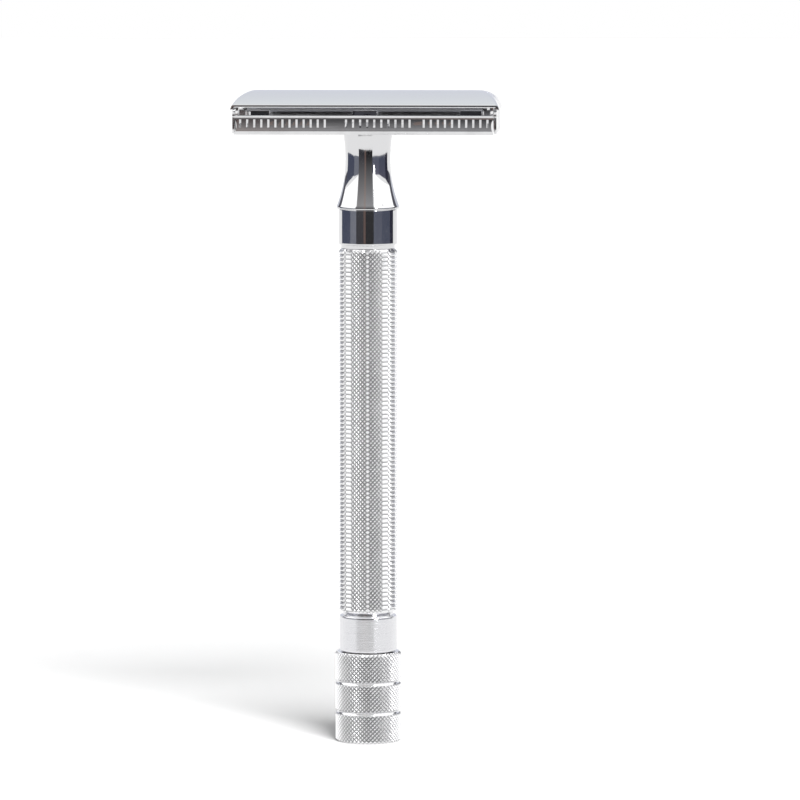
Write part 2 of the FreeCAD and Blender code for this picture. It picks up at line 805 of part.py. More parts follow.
def make_end_plate():
    """Left end plate: a wide foot, a narrower top rounded about the two pivots."""
    x = (-s.plate_outer, -s.plate_inner)
    wall = s.plate_outer - s.plate_inner
    foot = box(
        "plate_foot", x, (-s.plate_reach, s.plate_reach), (s.plate_bottom, s.plate_shoulder)
    )
    top = box(
        "plate_top",
        x,
        (-s.pivot_reach, s.pivot_reach),
        (s.plate_bottom, s.pivot_z + s.plate_boss),
    )
    bosses = [
        rod("plate_boss%d" % n, s.plate_boss, wall, -s.plate_outer, y, s.pivot_z, ALONG_X)
        for n, y in enumerate((-s.pivot_reach, s.pivot_reach))
    ]
    holes = [
        rod("plate_hole%d" % n, s.pivot_radius, wall, -s.plate_outer, y, s.pivot_z, ALONG_X)
        for n, y in enumerate((-s.pivot_reach, s.pivot_reach))
    ]
    return cut("end_plate_left", fused("plate_blank", foot, top, *bosses), *holes)


def crosswise_pins(name, radius, inner, outer, reach, height):
    """Four short pins along X, one at each corner of the head."""
    pins = []
    for side, y in enumerate((-reach, reach)):
        for end, x in enumerate((-outer, inner)):
            pins.append(
                rod("%s%d%d" % (name, end, side), radius, outer - inner, x, y, height, ALONG_X)
            )
    return group(name, pins)


# ---------- doors ----------


def crown(name, radius):
    """A round bar along X whose top is the doors' crown."""
    far = s.hip_start + s.hip_radius + PAST
    return rod(name, radius, 2 * far, -far, 0, s.ridge_z - s.crown_radius, ALONG_X)


def hipped(name, radius):
    """A block with round ends, which gives the doors' ends their downward curve."""
    deep = s.door_reach + PAST
    hip_z = s.ridge_z - s.hip_radius
    block = box(
        name + "_block",
        (-s.hip_start, s.hip_start),
        (-deep, deep),
        (s.door_skirt_z - PAST, hip_z + radius),
    )
    ends = [
        rod("%s_end%d" % (name, n), radius, 2 * deep, x, -deep, hip_z, ALONG_Y)
        for n, x in enumerate((-s.hip_start, s.hip_start))
    ]
    return fused(name, block, *ends)


def ear_tools(name, radius, half):
    """A rounded arm from the pivot down towards the middle, at both ends of the head."""
    made = []
    wall = s.ear_outer - s.ear_inner
    reach = s.arm_slot_end * s.arm_angle.cosine()
    drop = s.arm_slot_end * s.arm_angle.sine()
    for end, x in enumerate((-s.ear_outer, s.ear_inner)):
        label = "%s%d" % (name, end)
        made.append(rod(label + "_foot", radius, wall, x, -s.pivot_reach, s.pivot_z, ALONG_X))
        tip_at = (x, reach - s.pivot_reach, s.pivot_z - drop)
        made.append(rod(label + "_tip", half, wall, *tip_at, ALONG_X))
        made.append(sloped_arm(label + "_arm", x, wall, Size.of(0), s.arm_slot_end, half))
    return made


def sloped_arm(name, x, wall, start, end, half):
    """A block along the arm's slope, from start to end away from the pivot."""
    made = doc.addObject("Part::Box", name)
    slope = FreeCAD.Rotation(FreeCAD.Vector(1, 0, 0), -s.arm_angle.value)
    made.Placement = FreeCAD.Placement(FreeCAD.Vector(), slope)
    bind(made, Length=wall, Width=end - start, Height=2 * half)
    cosine, sine = s.arm_angle.cosine(), s.arm_angle.sine()
    y = start * cosine - half * sine - s.pivot_reach
    z = s.pivot_z - start * sine - half * cosine
    return place(made, x, y, z)


def slot_tools():
    """The pivot hole and the slot for the lift pin, through both ears."""
    made = []
    wall = s.ear_outer - s.ear_inner + 2 * PAST
    for end, x in enumerate((-s.ear_outer - PAST, s.ear_inner - PAST)):
        label = "ear_slot%d" % end
        made.append(rod(label + "_pivot", s.pivot_hole, wall, x, -s.pivot_reach, s.pivot_z, ALONG_X))
        for n, along in enumerate((s.arm_slot_start, s.arm_slot_end)):
            y = along * s.arm_angle.cosine() - s.pivot_reach
            z = s.pivot_z - along * s.arm_angle.sine()
            made.append(rod("%s_end%d" % (label, n), s.arm_slot_half, wall, x, y, z, ALONG_X))
        stretch = (s.arm_slot_start, s.arm_slot_end)
        made.append(sloped_arm(label + "_length", x, wall, *stretch, s.arm_slot_half))
    return made


def outer_envelope():
    """Everything under the middle of the doors' wall, so that the webs end inside it."""
    return common(
        "door_envelope",
        crown("crown_middle", s.crown_radius - s.door_wall / 2),
        hipped("hip_middle", s.hip_radius - s.hip_wall / 2),
    )


def make_front_door():
    """Half of the cap: a curved crown with rounded ends, and two ears that reach the pivots."""
    outer = common("door_outer", crown("crown_outer", s.crown_radius), hipped("hip_outer", s.hip_radius))
    inner_crown = crown("crown_inner", s.crown_radius - s.door_wall)
    inner = common("door_inner", inner_crown, hipped("hip_inner", s.hip_radius - s.hip_wall))
    far = s.hip_start + s.hip_radius + PAST
    front = box(
        "door_front",
        (-far, far),
        (-s.door_reach, -s.door_seam),
        (s.door_skirt_z, s.ridge_z + PAST),
    )
    shell = common("door_shell", cut("door_hollow", outer, inner), front)
    webs = [
        box(
            "door_web%d" % end,
            (x, x + s.ear_outer - s.ear_inner),
            (-s.web_outer, -s.web_inner),
            (s.web_bottom, s.ridge_z),
        )
        for end, x in enumerate((-s.ear_outer, s.ear_inner))
    ]
    under_crown = common("door_webs", group("door_web_pair", webs), outer_envelope())
    ears = ear_tools("ear", s.pivot_boss, s.arm_half)
    return cut("front_door", fused("door_whole", shell, under_crown, *ears), *slot_tools())


# ---------- lift bar ----------


def make_lift_bar():
    """Flat bar under the bed with a fork across each end. The forks' tips carry the lift pins."""
    z = (s.bar_bottom, s.bar_bottom + s.bar_height)
    pin_y = lift_pin_reach()
    pin_z = lift_pin_height()
    wall = s.fork_outer - s.fork_inner
    pieces = [box("bar_strip", (-s.fork_outer, s.fork_outer), (-s.bar_half, s.bar_half), z)]
    for end, x in enumerate((-s.fork_outer, s.fork_inner)):
        reach = pin_y + s.fork_eye
        pieces.append(box("bar_cross%d" % end, (x, x + wall), (-reach, reach), z))
        for side, y in enumerate((-pin_y, pin_y)):
            label = "%d%d" % (end, side)
            pieces.append(rod("bar_eye" + label, s.fork_eye, wall, x, y, pin_z, ALONG_X))
            pieces.append(
                box("bar_post" + label, (x, x + wall), (y - s.fork_eye, y + s.fork_eye), (z[0], pin_z))
            )
    tip = rod("bar_tip_hole", s.tenon_radius, s.bar_height, 0, 0, s.bar_bottom)
    holes = [
        rod("bar_pin_hole%d%d" % (end, side), s.lift_pin_radius, wall, x, y, pin_z, ALONG_X)
        for end, x in enumerate((-s.fork_outer, s.fork_inner))
        for side, y in enumerate((-pin_y, pin_y))
    ]
    return cut("lift_bar", fused("bar_blank", *pieces), tip, *holes)


def lift_pin_reach():
    """Half the travel over the tangent of the arm's slope, in from the pivot."""
    away = s.lift_travel / 2 * s.arm_angle.cosine() / s.arm_angle.sine()
    return s.pivot_reach - away


def lift_pin_height():
    return s.pivot_z - s.lift_travel / 2


# ---------- blade ----------


def make_blade():
    """Double-edge blade, bent as it is when clamped, with ground edges and its middle slot."""
    centre = bed_centre()
    top, bottom = s.blade_curve, s.blade_curve - s.blade_wall
    inner = s.blade_reach - s.blade_bevel
    edge_z = centre + (top * top - s.blade_reach * s.blade_reach).root() - s.blade_wall / 2
    top_z = centre + (top * top - inner * inner).root()
    bottom_z = centre + (bottom * bottom - inner * inner).root()
    strip = pressed(
        "blade_strip",
        [
            (-inner, bottom_z, bottom),
            (-s.blade_reach, edge_z),
            (-inner, top_z),
            (inner, top_z, -top),
            (s.blade_reach, edge_z),
            (inner, bottom_z),
        ],
        s.blade_half_length,
    )
    height = (s.valley_z, s.ridge_z)
    far = s.blade_half_length + PAST
    tools = []
    for n, x in enumerate(sides(s.edge_half_length, far)):
        for side, y in enumerate(sides(s.tab_half, s.blade_reach + PAST)):
            tools.append(box("blade_corner%d%d" % (n, side), x, y, height))
    deep = s.ridge_z - s.valley_z
    slot_x = (-s.blade_slot_end, s.blade_slot_end)
    slot_y = (-s.blade_slot_half, s.blade_slot_half)
    tools.append(box("blade_slot", slot_x, slot_y, height))
    for n, x in enumerate(slot_x):
        tools.append(rod("blade_slot_end%d" % n, s.blade_slot_half, deep, x, 0, s.valley_z))
    tools.append(rod("blade_hole", s.blade_hole, deep, 0, 0, s.valley_z))
    for n, x in enumerate((-s.locator_x, s.locator_x)):
        tools.append(rod("blade_eye%d" % n, s.blade_eye, deep, x, 0, s.valley_z))
    return cut("blade", strip, *tools)


# ---------- the razor ----------

front_door = make_front_door()
end_plate_left = make_end_plate()
pieces = [
    make_knob(),
    make_thrust_washer(),
    make_drive_sleeve(),
    make_retaining_ring(),
    tube("drive_nut", s.nut_bore, s.sleeve_bore, s.nut_bottom, s.nut_top),
    make_ferrule(),
    make_barrel(),
    tube("guide_bush", s.rod_radius + s.bush_play, s.barrel_bore, s.bush_bottom, s.bush_top),
    make_collar(),
    make_neck(),
    make_lift_rod(),
    tube(
        "rod_stop_collar",
        s.rod_radius,
        s.stop_radius,
        s.stop_bottom,
        s.nut_bottom - s.lift_travel - s.stop_play,
    ),
    make_lift_bar(),
    crosswise_pins(
        "lift_pins",
        s.lift_pin_radius,
        s.fork_inner,
        s.lift_pin_end,
        lift_pin_reach(),
        lift_pin_height(),
    ),
    make_tray(),
    make_neck_rivets(),
    make_bar_guides(),
    make_locating_pins(),
    end_plate_left,
    mirrored("end_plate_right", end_plate_left, (1, 0, 0)),
    crosswise_pins(
        "pivot_pins", s.pivot_radius, s.ear_inner, s.plate_outer, s.pivot_reach, s.pivot_z
    ),
    make_blade(),
    front_door,
    mirrored("back_door", front_door, (0, 1, 0)),
]

doc.recompute()

for thing in doc.Objects:
    if "Invalid" in thing.State or "Error" in thing.State:
        raise RuntimeError("%s did not build: %s" % (thing.Label, thing.State))

os.makedirs("parts", exist_ok=True)
for piece in pieces:
    if piece.Shape.isNull() or not piece.Shape.isValid():
        raise RuntimeError(piece.Label + " has no sound shape")
    piece.Shape.exportStep("parts/%s.step" % piece.Label)
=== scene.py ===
"""Twist-to-open safety razor: the visible pieces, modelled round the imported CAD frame."""

import math

import bpy
from mathutils import Matrix, Vector


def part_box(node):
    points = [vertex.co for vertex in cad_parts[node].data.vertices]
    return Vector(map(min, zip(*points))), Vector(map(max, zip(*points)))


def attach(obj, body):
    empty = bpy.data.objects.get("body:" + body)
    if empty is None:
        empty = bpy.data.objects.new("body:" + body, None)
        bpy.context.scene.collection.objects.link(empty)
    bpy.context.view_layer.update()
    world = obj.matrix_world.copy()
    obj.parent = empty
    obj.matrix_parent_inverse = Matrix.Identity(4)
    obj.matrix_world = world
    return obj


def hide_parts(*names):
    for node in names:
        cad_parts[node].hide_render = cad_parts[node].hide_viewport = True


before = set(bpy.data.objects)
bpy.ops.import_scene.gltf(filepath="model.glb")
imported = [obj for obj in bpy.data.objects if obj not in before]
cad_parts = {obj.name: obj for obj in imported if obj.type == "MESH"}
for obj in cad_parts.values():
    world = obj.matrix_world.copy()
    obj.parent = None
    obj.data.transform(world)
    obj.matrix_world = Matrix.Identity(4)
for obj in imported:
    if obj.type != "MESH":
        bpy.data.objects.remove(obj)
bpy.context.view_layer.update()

# ---------------------------------------------------------------- turning knob
# A stout turned knob at the foot of the handle: three diamond-knurled bands with round grooves
# between them, plated. It is pressed on the drive sleeve and turns with it to open the doors.
MM = 0.001


def rounded(corners, radius, sharpest=15):
    """A path, as (across, up), with every corner that turns more than so many degrees rounded.

    A point is added just outside each rounding, so that long flat runs keep a flat shading.
    """
    corners = [Vector(corner) for corner in corners]
    path = [corners[0]]
    for before, corner, after in zip(corners, corners[1:], corners[2:]):
        come, go = corner - before, after - corner
        if come.angle(go) < math.radians(sharpest):
            path.append(corner)
            continue
        start = corner - come.normalized() * min(radius, come.length * 0.45)
        end = corner + go.normalized() * min(radius, go.length * 0.45)
        if come.length > 4 * radius:
            path.append(start - come.normalized() * radius / 4)
        for share in (0, 1 / 3, 2 / 3, 1):
            path.append(start.lerp(corner, share).lerp(corner.lerp(end, share), share))
        if go.length > 4 * radius:
            path.append(end + go.normalized() * radius / 4)
    return path + [corners[-1]]


def pick(piece, test, faces=False):
    """Selects the vertices, or the faces by their middles, whose place passes a test."""
    mesh = piece.data
    bpy.context.tool_settings.mesh_select_mode = (not faces, False, faces)
    for parts in (mesh.vertices, mesh.edges, mesh.polygons):
        parts.foreach_set("select", [False] * len(parts))
    if faces:
        mesh.polygons.foreach_set("select", [bool(test(f.center)) for f in mesh.polygons])
    else:
        mesh.vertices.foreach_set("select", [bool(test(v.co)) for v in mesh.vertices])


def edit(*steps):
    """Works through steps in edit mode on what is selected."""
    bpy.ops.object.mode_set(mode="EDIT")
    for step in steps:
        step()
    bpy.ops.object.mode_set(mode="OBJECT")


def close_up():
    """Merges what lies together and turns every face outwards."""
    bpy.ops.mesh.select_all(action="SELECT")
    bpy.ops.mesh.remove_doubles(threshold=0.002 * MM)
    bpy.ops.mesh.normals_make_consistent(inside=False)


def turned(name, rings, sides, filled=False):
    """A lathe piece: a circle drawn out from ring to ring, (radius, height), round Z."""
    bpy.ops.object.select_all(action="DESELECT")
    bpy.ops.mesh.primitive_circle_add(vertices=sides, radius=rings[0][0])
    piece = bpy.context.object
    piece.name = name
    bpy.ops.object.mode_set(mode="EDIT")
    bpy.ops.mesh.select_all(action="SELECT")
    bpy.ops.transform.translate(value=(0, 0, rings[0][1]))
    for (before, low), (after, high) in zip(rings, rings[1:]):
        rise = {"value": (0, 0, high - low)}
        bpy.ops.mesh.extrude_region_move(TRANSFORM_OT_translate=rise)
        spread = after / before
        bpy.ops.transform.resize(value=(spread, spread, 1), center_override=(0, 0, high))
    if filled:
        bpy.ops.mesh.edge_face_add()
    bpy.ops.object.mode_set(mode="OBJECT")
    if filled:
        pick(piece, lambda v: abs(v.z - rings[0][1]) < 1e-7)
        edit(bpy.ops.mesh.edge_face_add)
    edit(close_up)
    return piece


def smooth(piece, angle=28):
    """Smooth shading, with the edges that turn more than the angle kept crisp."""
    bpy.ops.object.select_all(action="DESELECT")
    piece.select_set(True)
    bpy.context.view_layer.objects.active = piece
    bpy.ops.object.shade_smooth_by_angle(angle=math.radians(angle))


def knurl_rings(radius, bottom, top, pitch):
    """The rings of a knurled band, two to each diamond."""
    count = 2 * round((top - bottom) / pitch)
    return [(radius, bottom + (top - bottom) * n / count) for n in range(count + 1)]


def knurl(piece, rings, around, depth, flat):
    """Draws in every other vertex of a band like a chessboard, and flattens the diamonds' tips."""
    radius, bottom = rings[0]
    top, step = rings[-1][1], rings[1][1] - bottom

    def on_band(v, margin):
        return math.hypot(v.x, v.y) > radius * 0.985 and bottom - margin < v.z < top + margin

    def low(v):
        turn = round(math.atan2(v.y, v.x) * around / math.pi)
        return (round((v.z - bottom) / step) + turn) % 2

    inwards = 1 - depth / radius
    pick(piece, lambda v: on_band(v, step / 4) and low(v))
    edit(
        lambda: bpy.ops.transform.resize(
            value=(inwards, inwards, 1), center_override=(0, 0, 0)
        ),
        bpy.ops.mesh.vert_connect,
    )
    pick(piece, lambda v: on_band(v, -step / 2) and not low(v))
    edit(lambda: bpy.ops.mesh.bevel(offset=flat, affect="VERTICES", segments=1))


class Value:
    """A shader socket that takes Python's arithmetic and adds the Math nodes for it."""

    def __init__(self, tree, socket):
        self.tree, self.socket = tree, socket

    def math(self, operation, *others):
        node = self.tree.nodes.new("ShaderNodeMath")
        node.operation = operation
        for socket, value in zip(node.inputs, (self, *others)):
            feed(self.tree, socket, value)
        return Value(self.tree, node.outputs[0])

    def flipped(self, operation, first):
        node = self.tree.nodes.new("ShaderNodeMath")
        node.operation = operation
        feed(self.tree, node.inputs[0], first)
        feed(self.tree, node.inputs[1], self)
        return Value(self.tree, node.outputs[0])

    def __add__(self, other):
        return self.math("ADD", other)

    def __sub__(self, other):
        return self.math("SUBTRACT", other)

    def __rsub__(self, other):
        return self.flipped("SUBTRACT", other)

    def __mul__(self, other):
        return self.math("MULTIPLY", other)

    def __truediv__(self, other):
        return self.math("DIVIDE", other)

    def __pow__(self, other):
        return self.math("POWER", other)

    __radd__ = __add__
    __rmul__ = __mul__

    def clamped(self):
        return self.math("MINIMUM", 1.0).math("MAXIMUM", 0.0)


def feed(tree, socket, value):
    """Links a socket to a value, or sets it to a plain one."""
    if isinstance(value, Value):
        tree.links.new(value.socket, socket)
    else:
        socket.default_value = value


class Finish:
    """A surface finish: a Principled shader, and the nodes that vary it over the piece."""

    def __init__(self, name, color, roughness, metallic=1.0):
        self.material = bpy.data.materials.new(name)
        self.material.use_nodes = True
        self.tree = self.material.node_tree
        self.shader = self.tree.nodes["Principled BSDF"]
        self.wear("Base Color", (*color, 1))
        self.wear("Roughness", roughness)
        self.wear("Metallic", metallic)
        self.place = self.node("TexCoord", output="Object")
        axes = self.tree.nodes.new("ShaderNodeSeparateXYZ")
        feed(self.tree, axes.inputs[0], self.place)
        self.x, self.y, self.z = (Value(self.tree, axis) for axis in axes.outputs)

    def node(self, kind, settings=None, inputs=None, output=0):
        """A node by type, with its settings first and then its inputs' values or links."""
        node = self.tree.nodes.new("ShaderNode" + kind)
        for name, value in (settings or {}).items():
            setattr(node, name, value)
        for name, value in (inputs or {}).items():
            feed(self.tree, node.inputs[name], value)
        return Value(self.tree, node.outputs[output])

    def wear(self, name, value):
        feed(self.tree, self.shader.inputs[name], value)

    def noise(self, size, detail=2.0, stretch=(1, 1, 1)):
        """Cloudy noise with blotches of a size in metres, drawn out along the axes."""
        scale = tuple(1 / s for s in stretch)
        place = self.node("Mapping", None, {"Vector": self.place, "Scale": scale})
        facts = {"Vector": place, "Scale": 1 / size, "Detail": detail}
        return self.node("TexNoise", None, facts)

    def lines(self, along, spacing):
        """Uneven fine lines across an axis, as a lathe tool or a polishing belt leaves."""
        facts = {"W": along, "Scale": 1 / spacing, "Detail": 3.0}
        return self.node("TexNoise", {"noise_dimensions": "1D"}, facts)

    def tint(self, share, first, second):
        """A colour between two, by a share."""
        facts = {"Factor": share, 6: (*first, 1), 7: (*second, 1)}
        return self.node("Mix", {"data_type": "RGBA"}, facts, output=2)

    def relief(self, height, depth):
        """Fine relief, depth deep in metres where the height runs from 0 to 1."""
        facts = {"Height": height, "Distance": depth, "Strength": 1.0}
        self.wear("Normal", self.node("Bump", None, facts))


def knurled_plate(name, skin, depth):
    """Plated knurling: bright crests, valleys darkened with painted shade by their depth, and turned
    metal deeper than those that has none.
    """
    finish = Finish(name, (0.7, 0.7, 0.7), 0.2)
    radius = (finish.x * finish.x + finish.y * finish.y) ** 0.5
    sunk = (skin - radius) / depth
    turned_groove = ((sunk - 1.1) * 10).clamped()
    sunk = sunk.clamped() * (1 - turned_groove)
    # Painted shade: the knurl's valleys darken with their depth, a little unevenly.
    valley_shade = (sunk**4 * (0.8 + finish.noise(2.5 * MM) * 0.7)).clamped()
    finish.wear("Base Color", finish.tint(valley_shade, (0.90, 0.90, 0.91), (0.28, 0.28, 0.29)))
    finish.wear("Roughness", 0.18 + finish.noise(1.2 * MM) * 0.10 + sunk * 0.12 - turned_groove * 0.08)
    finish.relief(finish.noise(0.12 * MM, 3.0), 0.004 * MM)
    return finish.material


low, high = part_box("knob")
KNOB_RADIUS = high.x
KNOB_DIAMONDS = 48
DIAMOND = 0.74 * MM
DIAMOND_DEPTH = 0.25 * MM
DIAMOND_FLAT = 0.045 * MM
BAND_COUNT = 3
BORE_PLAY, FACE_PLAY, WASHER_PLAY = 0.01 * MM, 0.02 * MM, 0.1 * MM
GROOVE_DEPTH = 0.45 * MM
GROOVE_HALF = 0.45 * MM
KNOB_EDGE = 0.4 * MM
SLEEVE_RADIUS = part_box("drive_sleeve")[1].x
WASHER_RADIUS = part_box("thrust_washer")[1].x
WASHER_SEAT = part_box("thrust_washer")[0].z
SLEEVE_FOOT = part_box("drive_sleeve")[0].z

bands = []
outline = [(KNOB_RADIUS - 1.35 * KNOB_EDGE, 0)]
outline += [(KNOB_RADIUS - 0.9 * KNOB_EDGE, 0.05 * KNOB_EDGE)]
for band in range(BAND_COUNT):
    foot = high.z * band / BAND_COUNT + (GROOVE_HALF if band else KNOB_EDGE)
    last = band == BAND_COUNT - 1
    head = high.z * (band + 1) / BAND_COUNT - (KNOB_EDGE if last else GROOVE_HALF)
    bands.append(knurl_rings(KNOB_RADIUS, foot, head, DIAMOND))
    outline += bands[-1]
    if not last:
        for share in (0.2, 0.35, 0.5, 0.65, 0.8):
            sink = GROOVE_DEPTH * math.sin(math.pi * share) ** 0.7
            outline.append((KNOB_RADIUS - sink, head + 2 * GROOVE_HALF * share))
outline += [
    (KNOB_RADIUS - 0.9 * KNOB_EDGE, high.z - 0.05 * KNOB_EDGE),
    (KNOB_RADIUS - 1.35 * KNOB_EDGE, high.z),
    (WASHER_RADIUS + WASHER_PLAY, high.z),
    (WASHER_RADIUS + WASHER_PLAY, WASHER_SEAT - FACE_PLAY),
    (SLEEVE_RADIUS + BORE_PLAY, WASHER_SEAT - FACE_PLAY),
    (SLEEVE_RADIUS + BORE_PLAY, SLEEVE_FOOT - BORE_PLAY),
]
knob = turned("knob_knurled", outline, 2 * KNOB_DIAMONDS, filled=True)
for band in bands:
    knurl(knob, band, KNOB_DIAMONDS, DIAMOND_DEPTH, DIAMOND_FLAT)
smooth(knob)
knob.data.materials.append(knurled_plate("knob_plating", KNOB_RADIUS, DIAMOND_DEPTH))
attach(knob, "knob")
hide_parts("knob")

# ---------------------------------------------------------------- drive inside the knob
# The steel sleeve that is pressed in the knob, its split retaining ring, the brass nut that
# works the rod, and the nylon washer that the knob turns on.


def drawn_steel(name, color, roughness):
    """Bright drawn bar, with faint lines along it and small changes of gloss."""
    finish = Finish(name, color, roughness)
    finish.wear("Roughness", roughness - 0.05 + finish.noise(0.8 * MM, 3.0) * 0.12)
    finish.relief(finish.noise(0.15 * MM, 3.0, (6, 1, 1)), 0.003 * MM)
    return finish.material


def machined_brass(name):
    """Turned brass with the tool's lines and a slight tarnish."""
    finish = Finish(name, (0.78, 0.58, 0.28), 0.25)
    tarnish = (finish.noise(2 * MM, 4.0) * 1.6 - 0.4).clamped()
    finish.wear("Base Color", finish.tint(tarnish, (0.80, 0.61, 0.31), (0.60, 0.42, 0.20)))
    finish.relief(finish.lines(finish.z, 0.12 * MM), 0.006 * MM)
    return finish.material


def dress(node, material):
    """Gives a CAD node its material."""
    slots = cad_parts[node].material_slots
    for slot in slots:
        slot.material = material


steel = drawn_steel("drive_steel", (0.62, 0.62, 0.63), 0.26)
brass = machined_brass("drive_brass")
nylon = Finish("nylon", (0.86, 0.85, 0.80), 0.45, metallic=0.0)
nylon.wear("Roughness", 0.40 + nylon.noise(0.6 * MM) * 0.15)
dress("drive_sleeve", steel)
dress("retaining_ring", steel)
dress("drive_nut", brass)
dress("thrust_washer", nylon.material)

# ---------------------------------------------------------------- ferrule
# The smooth ring that the knob turns against, turned from bar and plated over the fine lines
# that the tool leaves. Its plug goes up into the barrel.


def turned_plate(name, color, gloss, spacing, depth):
    """Plating over lathe work: fine rings round the piece that also change its gloss."""
    finish = Finish(name, color, gloss)
    rings = finish.lines(finish.z, spacing)
    finish.wear("Roughness", gloss - 0.05 + rings * 0.10 + finish.noise(3 * MM) * 0.04)
    finish.relief(rings, depth)
    return finish.material


low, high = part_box("lower_ferrule")
FERRULE_RADIUS = high.x
FERRULE_TOP = 21.5 * MM
FERRULE_WAIST = 4.25 * MM
FERRULE_BORE = SLEEVE_RADIUS + 0.05 * MM
FERRULE_ROUND = 0.32 * MM
barrel_low, barrel_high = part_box("barrel")
PLUG_RADIUS = 3.6 * MM

ferrule = turned(
    "ferrule_turned",
    rounded(
        [
            (FERRULE_BORE, low.z),
            (FERRULE_RADIUS, low.z),
            (FERRULE_RADIUS, FERRULE_TOP),
            (FERRULE_WAIST, FERRULE_TOP),
            (FERRULE_WAIST, barrel_low.z),
            (PLUG_RADIUS, barrel_low.z),
            (PLUG_RADIUS, high.z),
            (FERRULE_BORE, high.z),
            (FERRULE_BORE, low.z),
        ],
        FERRULE_ROUND,
    ),
    128,
)
smooth(ferrule)
ferrule.data.materials.append(
    turned_plate("ferrule_plating", (0.84, 0.84, 0.86), 0.20, 0.10 * MM, 0.006 * MM)
)
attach(ferrule, "handle")
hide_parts("lower_ferrule")

# ---------------------------------------------------------------- barrel
# The long grip: a tube with fine diamond knurling rolled into it from end to end, chamfered and
# plated. The ferrule and the collar are pressed into its ends.
BARREL_RADIUS = barrel_high.x
BARREL_DIAMONDS = 43
BARREL_EDGE = 0.55 * MM
rows = knurl_rings(BARREL_RADIUS, barrel_low.z + BARREL_EDGE, barrel_high.z - BARREL_EDGE, DIAMOND)
barrel = turned(
    "barrel_knurled",
    [
        (PLUG_RADIUS, barrel_low.z),
        (BARREL_RADIUS - BARREL_EDGE, barrel_low.z),
        (BARREL_RADIUS - 0.8 * BARREL_EDGE, barrel_low.z + 0.06 * BARREL_EDGE),
        *rows,
        (BARREL_RADIUS - 0.8 * BARREL_EDGE, barrel_high.z - 0.06 * BARREL_EDGE),
        (BARREL_RADIUS - BARREL_EDGE, barrel_high.z),
        (PLUG_RADIUS, barrel_high.z),
        (PLUG_RADIUS, barrel_low.z),
    ],
    2 * BARREL_DIAMONDS,
)
knurl(barrel, rows, BARREL_DIAMONDS, DIAMOND_DEPTH, DIAMOND_FLAT)
smooth(barrel)
barrel.data.materials.append(knurled_plate("barrel_plating", BARREL_RADIUS, DIAMOND_DEPTH))
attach(barrel, "handle")
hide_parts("barrel")
dress("guide_bush", brass)

# ---------------------------------------------------------------- collar
# A polished ring between barrel and neck, with a narrow waist below it and its plug in the
# barrel. Mirror plating shows the room in it.


def mirror_plate(name, color=(0.74, 0.74, 0.75), gloss=0.045):
    """Polished plating: nearly a mirror, with faint hazy patches, wipe marks and a slight ripple."""
    finish = Finish(name, color, gloss)
    haze = (finish.noise(4 * MM, 4.0) * 2.0 - 0.8).clamped()
    wiped = (finish.noise(0.5 * MM, 3.0, (8, 1, 1)) * 2.4 - 1.3).clamped()
    finish.wear("Roughness", gloss + haze * 0.03 + wiped * 0.05)
    finish.relief(finish.noise(1.6 * MM, 1.0), 0.0035 * MM)
    return finish


low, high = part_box("collar")
COLLAR_RADIUS = high.x
COLLAR_WAIST = 4.55 * MM
COLLAR_FOOT = 84.4 * MM
COLLAR_ROUND = 0.22 * MM
SOCKET_RADIUS = 3.0 * MM
ROD_BORE = 1.75 * MM
collar = turned(
    "collar_polished",
    rounded(
        [
            (ROD_BORE, low.z),
            (PLUG_RADIUS, low.z),
            (PLUG_RADIUS, barrel_high.z),
            (COLLAR_WAIST, barrel_high.z),
            (COLLAR_WAIST, COLLAR_FOOT),
            (COLLAR_RADIUS, COLLAR_FOOT),
            (COLLAR_RADIUS, high.z),
            (SOCKET_RADIUS, high.z),
            (SOCKET_RADIUS, COLLAR_FOOT),
            (ROD_BORE, COLLAR_FOOT),
            (ROD_BORE, low.z),
        ],
        COLLAR_ROUND,
    ),
    160,
)
smooth(collar)
collar.data.materials.append(mirror_plate("collar_plating").material)
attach(collar, "handle")
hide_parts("collar")

# ---------------------------------------------------------------- neck
# The flared neck, turned and polished: a sharp rim on the collar, a hollow sweep in to the waist
# and a slight swell under the head. A slot across its top lets the lift bar rise.


def arc(start, end, bend, steps):
    """Points after start, to end, on an arc with its centre on the left if bend is positive."""
    start, end = Vector(start), Vector(end)
    chord = end - start
    left = Vector((-chord.y, chord.x)).normalized()
    half = chord.length / 2
    centre = (start + end) / 2
    centre += left * math.copysign(math.sqrt(bend * bend - half * half), bend)
    sweep = math.copysign(2 * math.asin(half / abs(bend)), bend)
    points = []
    for step in range(1, steps + 1):
        spoke = Matrix.Rotation(sweep * step / steps, 2) @ (start - centre)
        points.append(centre + spoke)
    return points


def block(low, high):
    """A cube drawn to two opposite corners."""
    low, high = Vector(low), Vector(high)
    bpy.ops.object.select_all(action="DESELECT")
    bpy.ops.mesh.primitive_cube_add(size=1, location=(low + high) / 2)
    cube = bpy.context.object
    cube.scale = high - low
    bpy.ops.object.transform_apply(location=True, rotation=True, scale=True)
    return cube


def round_bar(radius, start, end, sides=48):
    """A cylinder between two points."""
    start, end = Vector(start), Vector(end)
    bpy.ops.object.select_all(action="DESELECT")
    bpy.ops.mesh.primitive_cylinder_add(
        vertices=sides,
        radius=radius,
        depth=(end - start).length,
        location=(start + end) / 2,
        rotation=(end - start).to_track_quat("Z", "Y").to_euler(),
    )
    bpy.ops.object.transform_apply(location=True, rotation=True, scale=True)
    return bpy.context.object


def joined(name, pieces):
    """Several meshes made one object."""
    bpy.ops.object.select_all(action="DESELECT")
    for piece in pieces:
        piece.select_set(True)
    bpy.context.view_layer.objects.active = pieces[0]
    if len(pieces) > 1:
        bpy.ops.object.join()
    pieces[0].name = name
    return pieces[0]


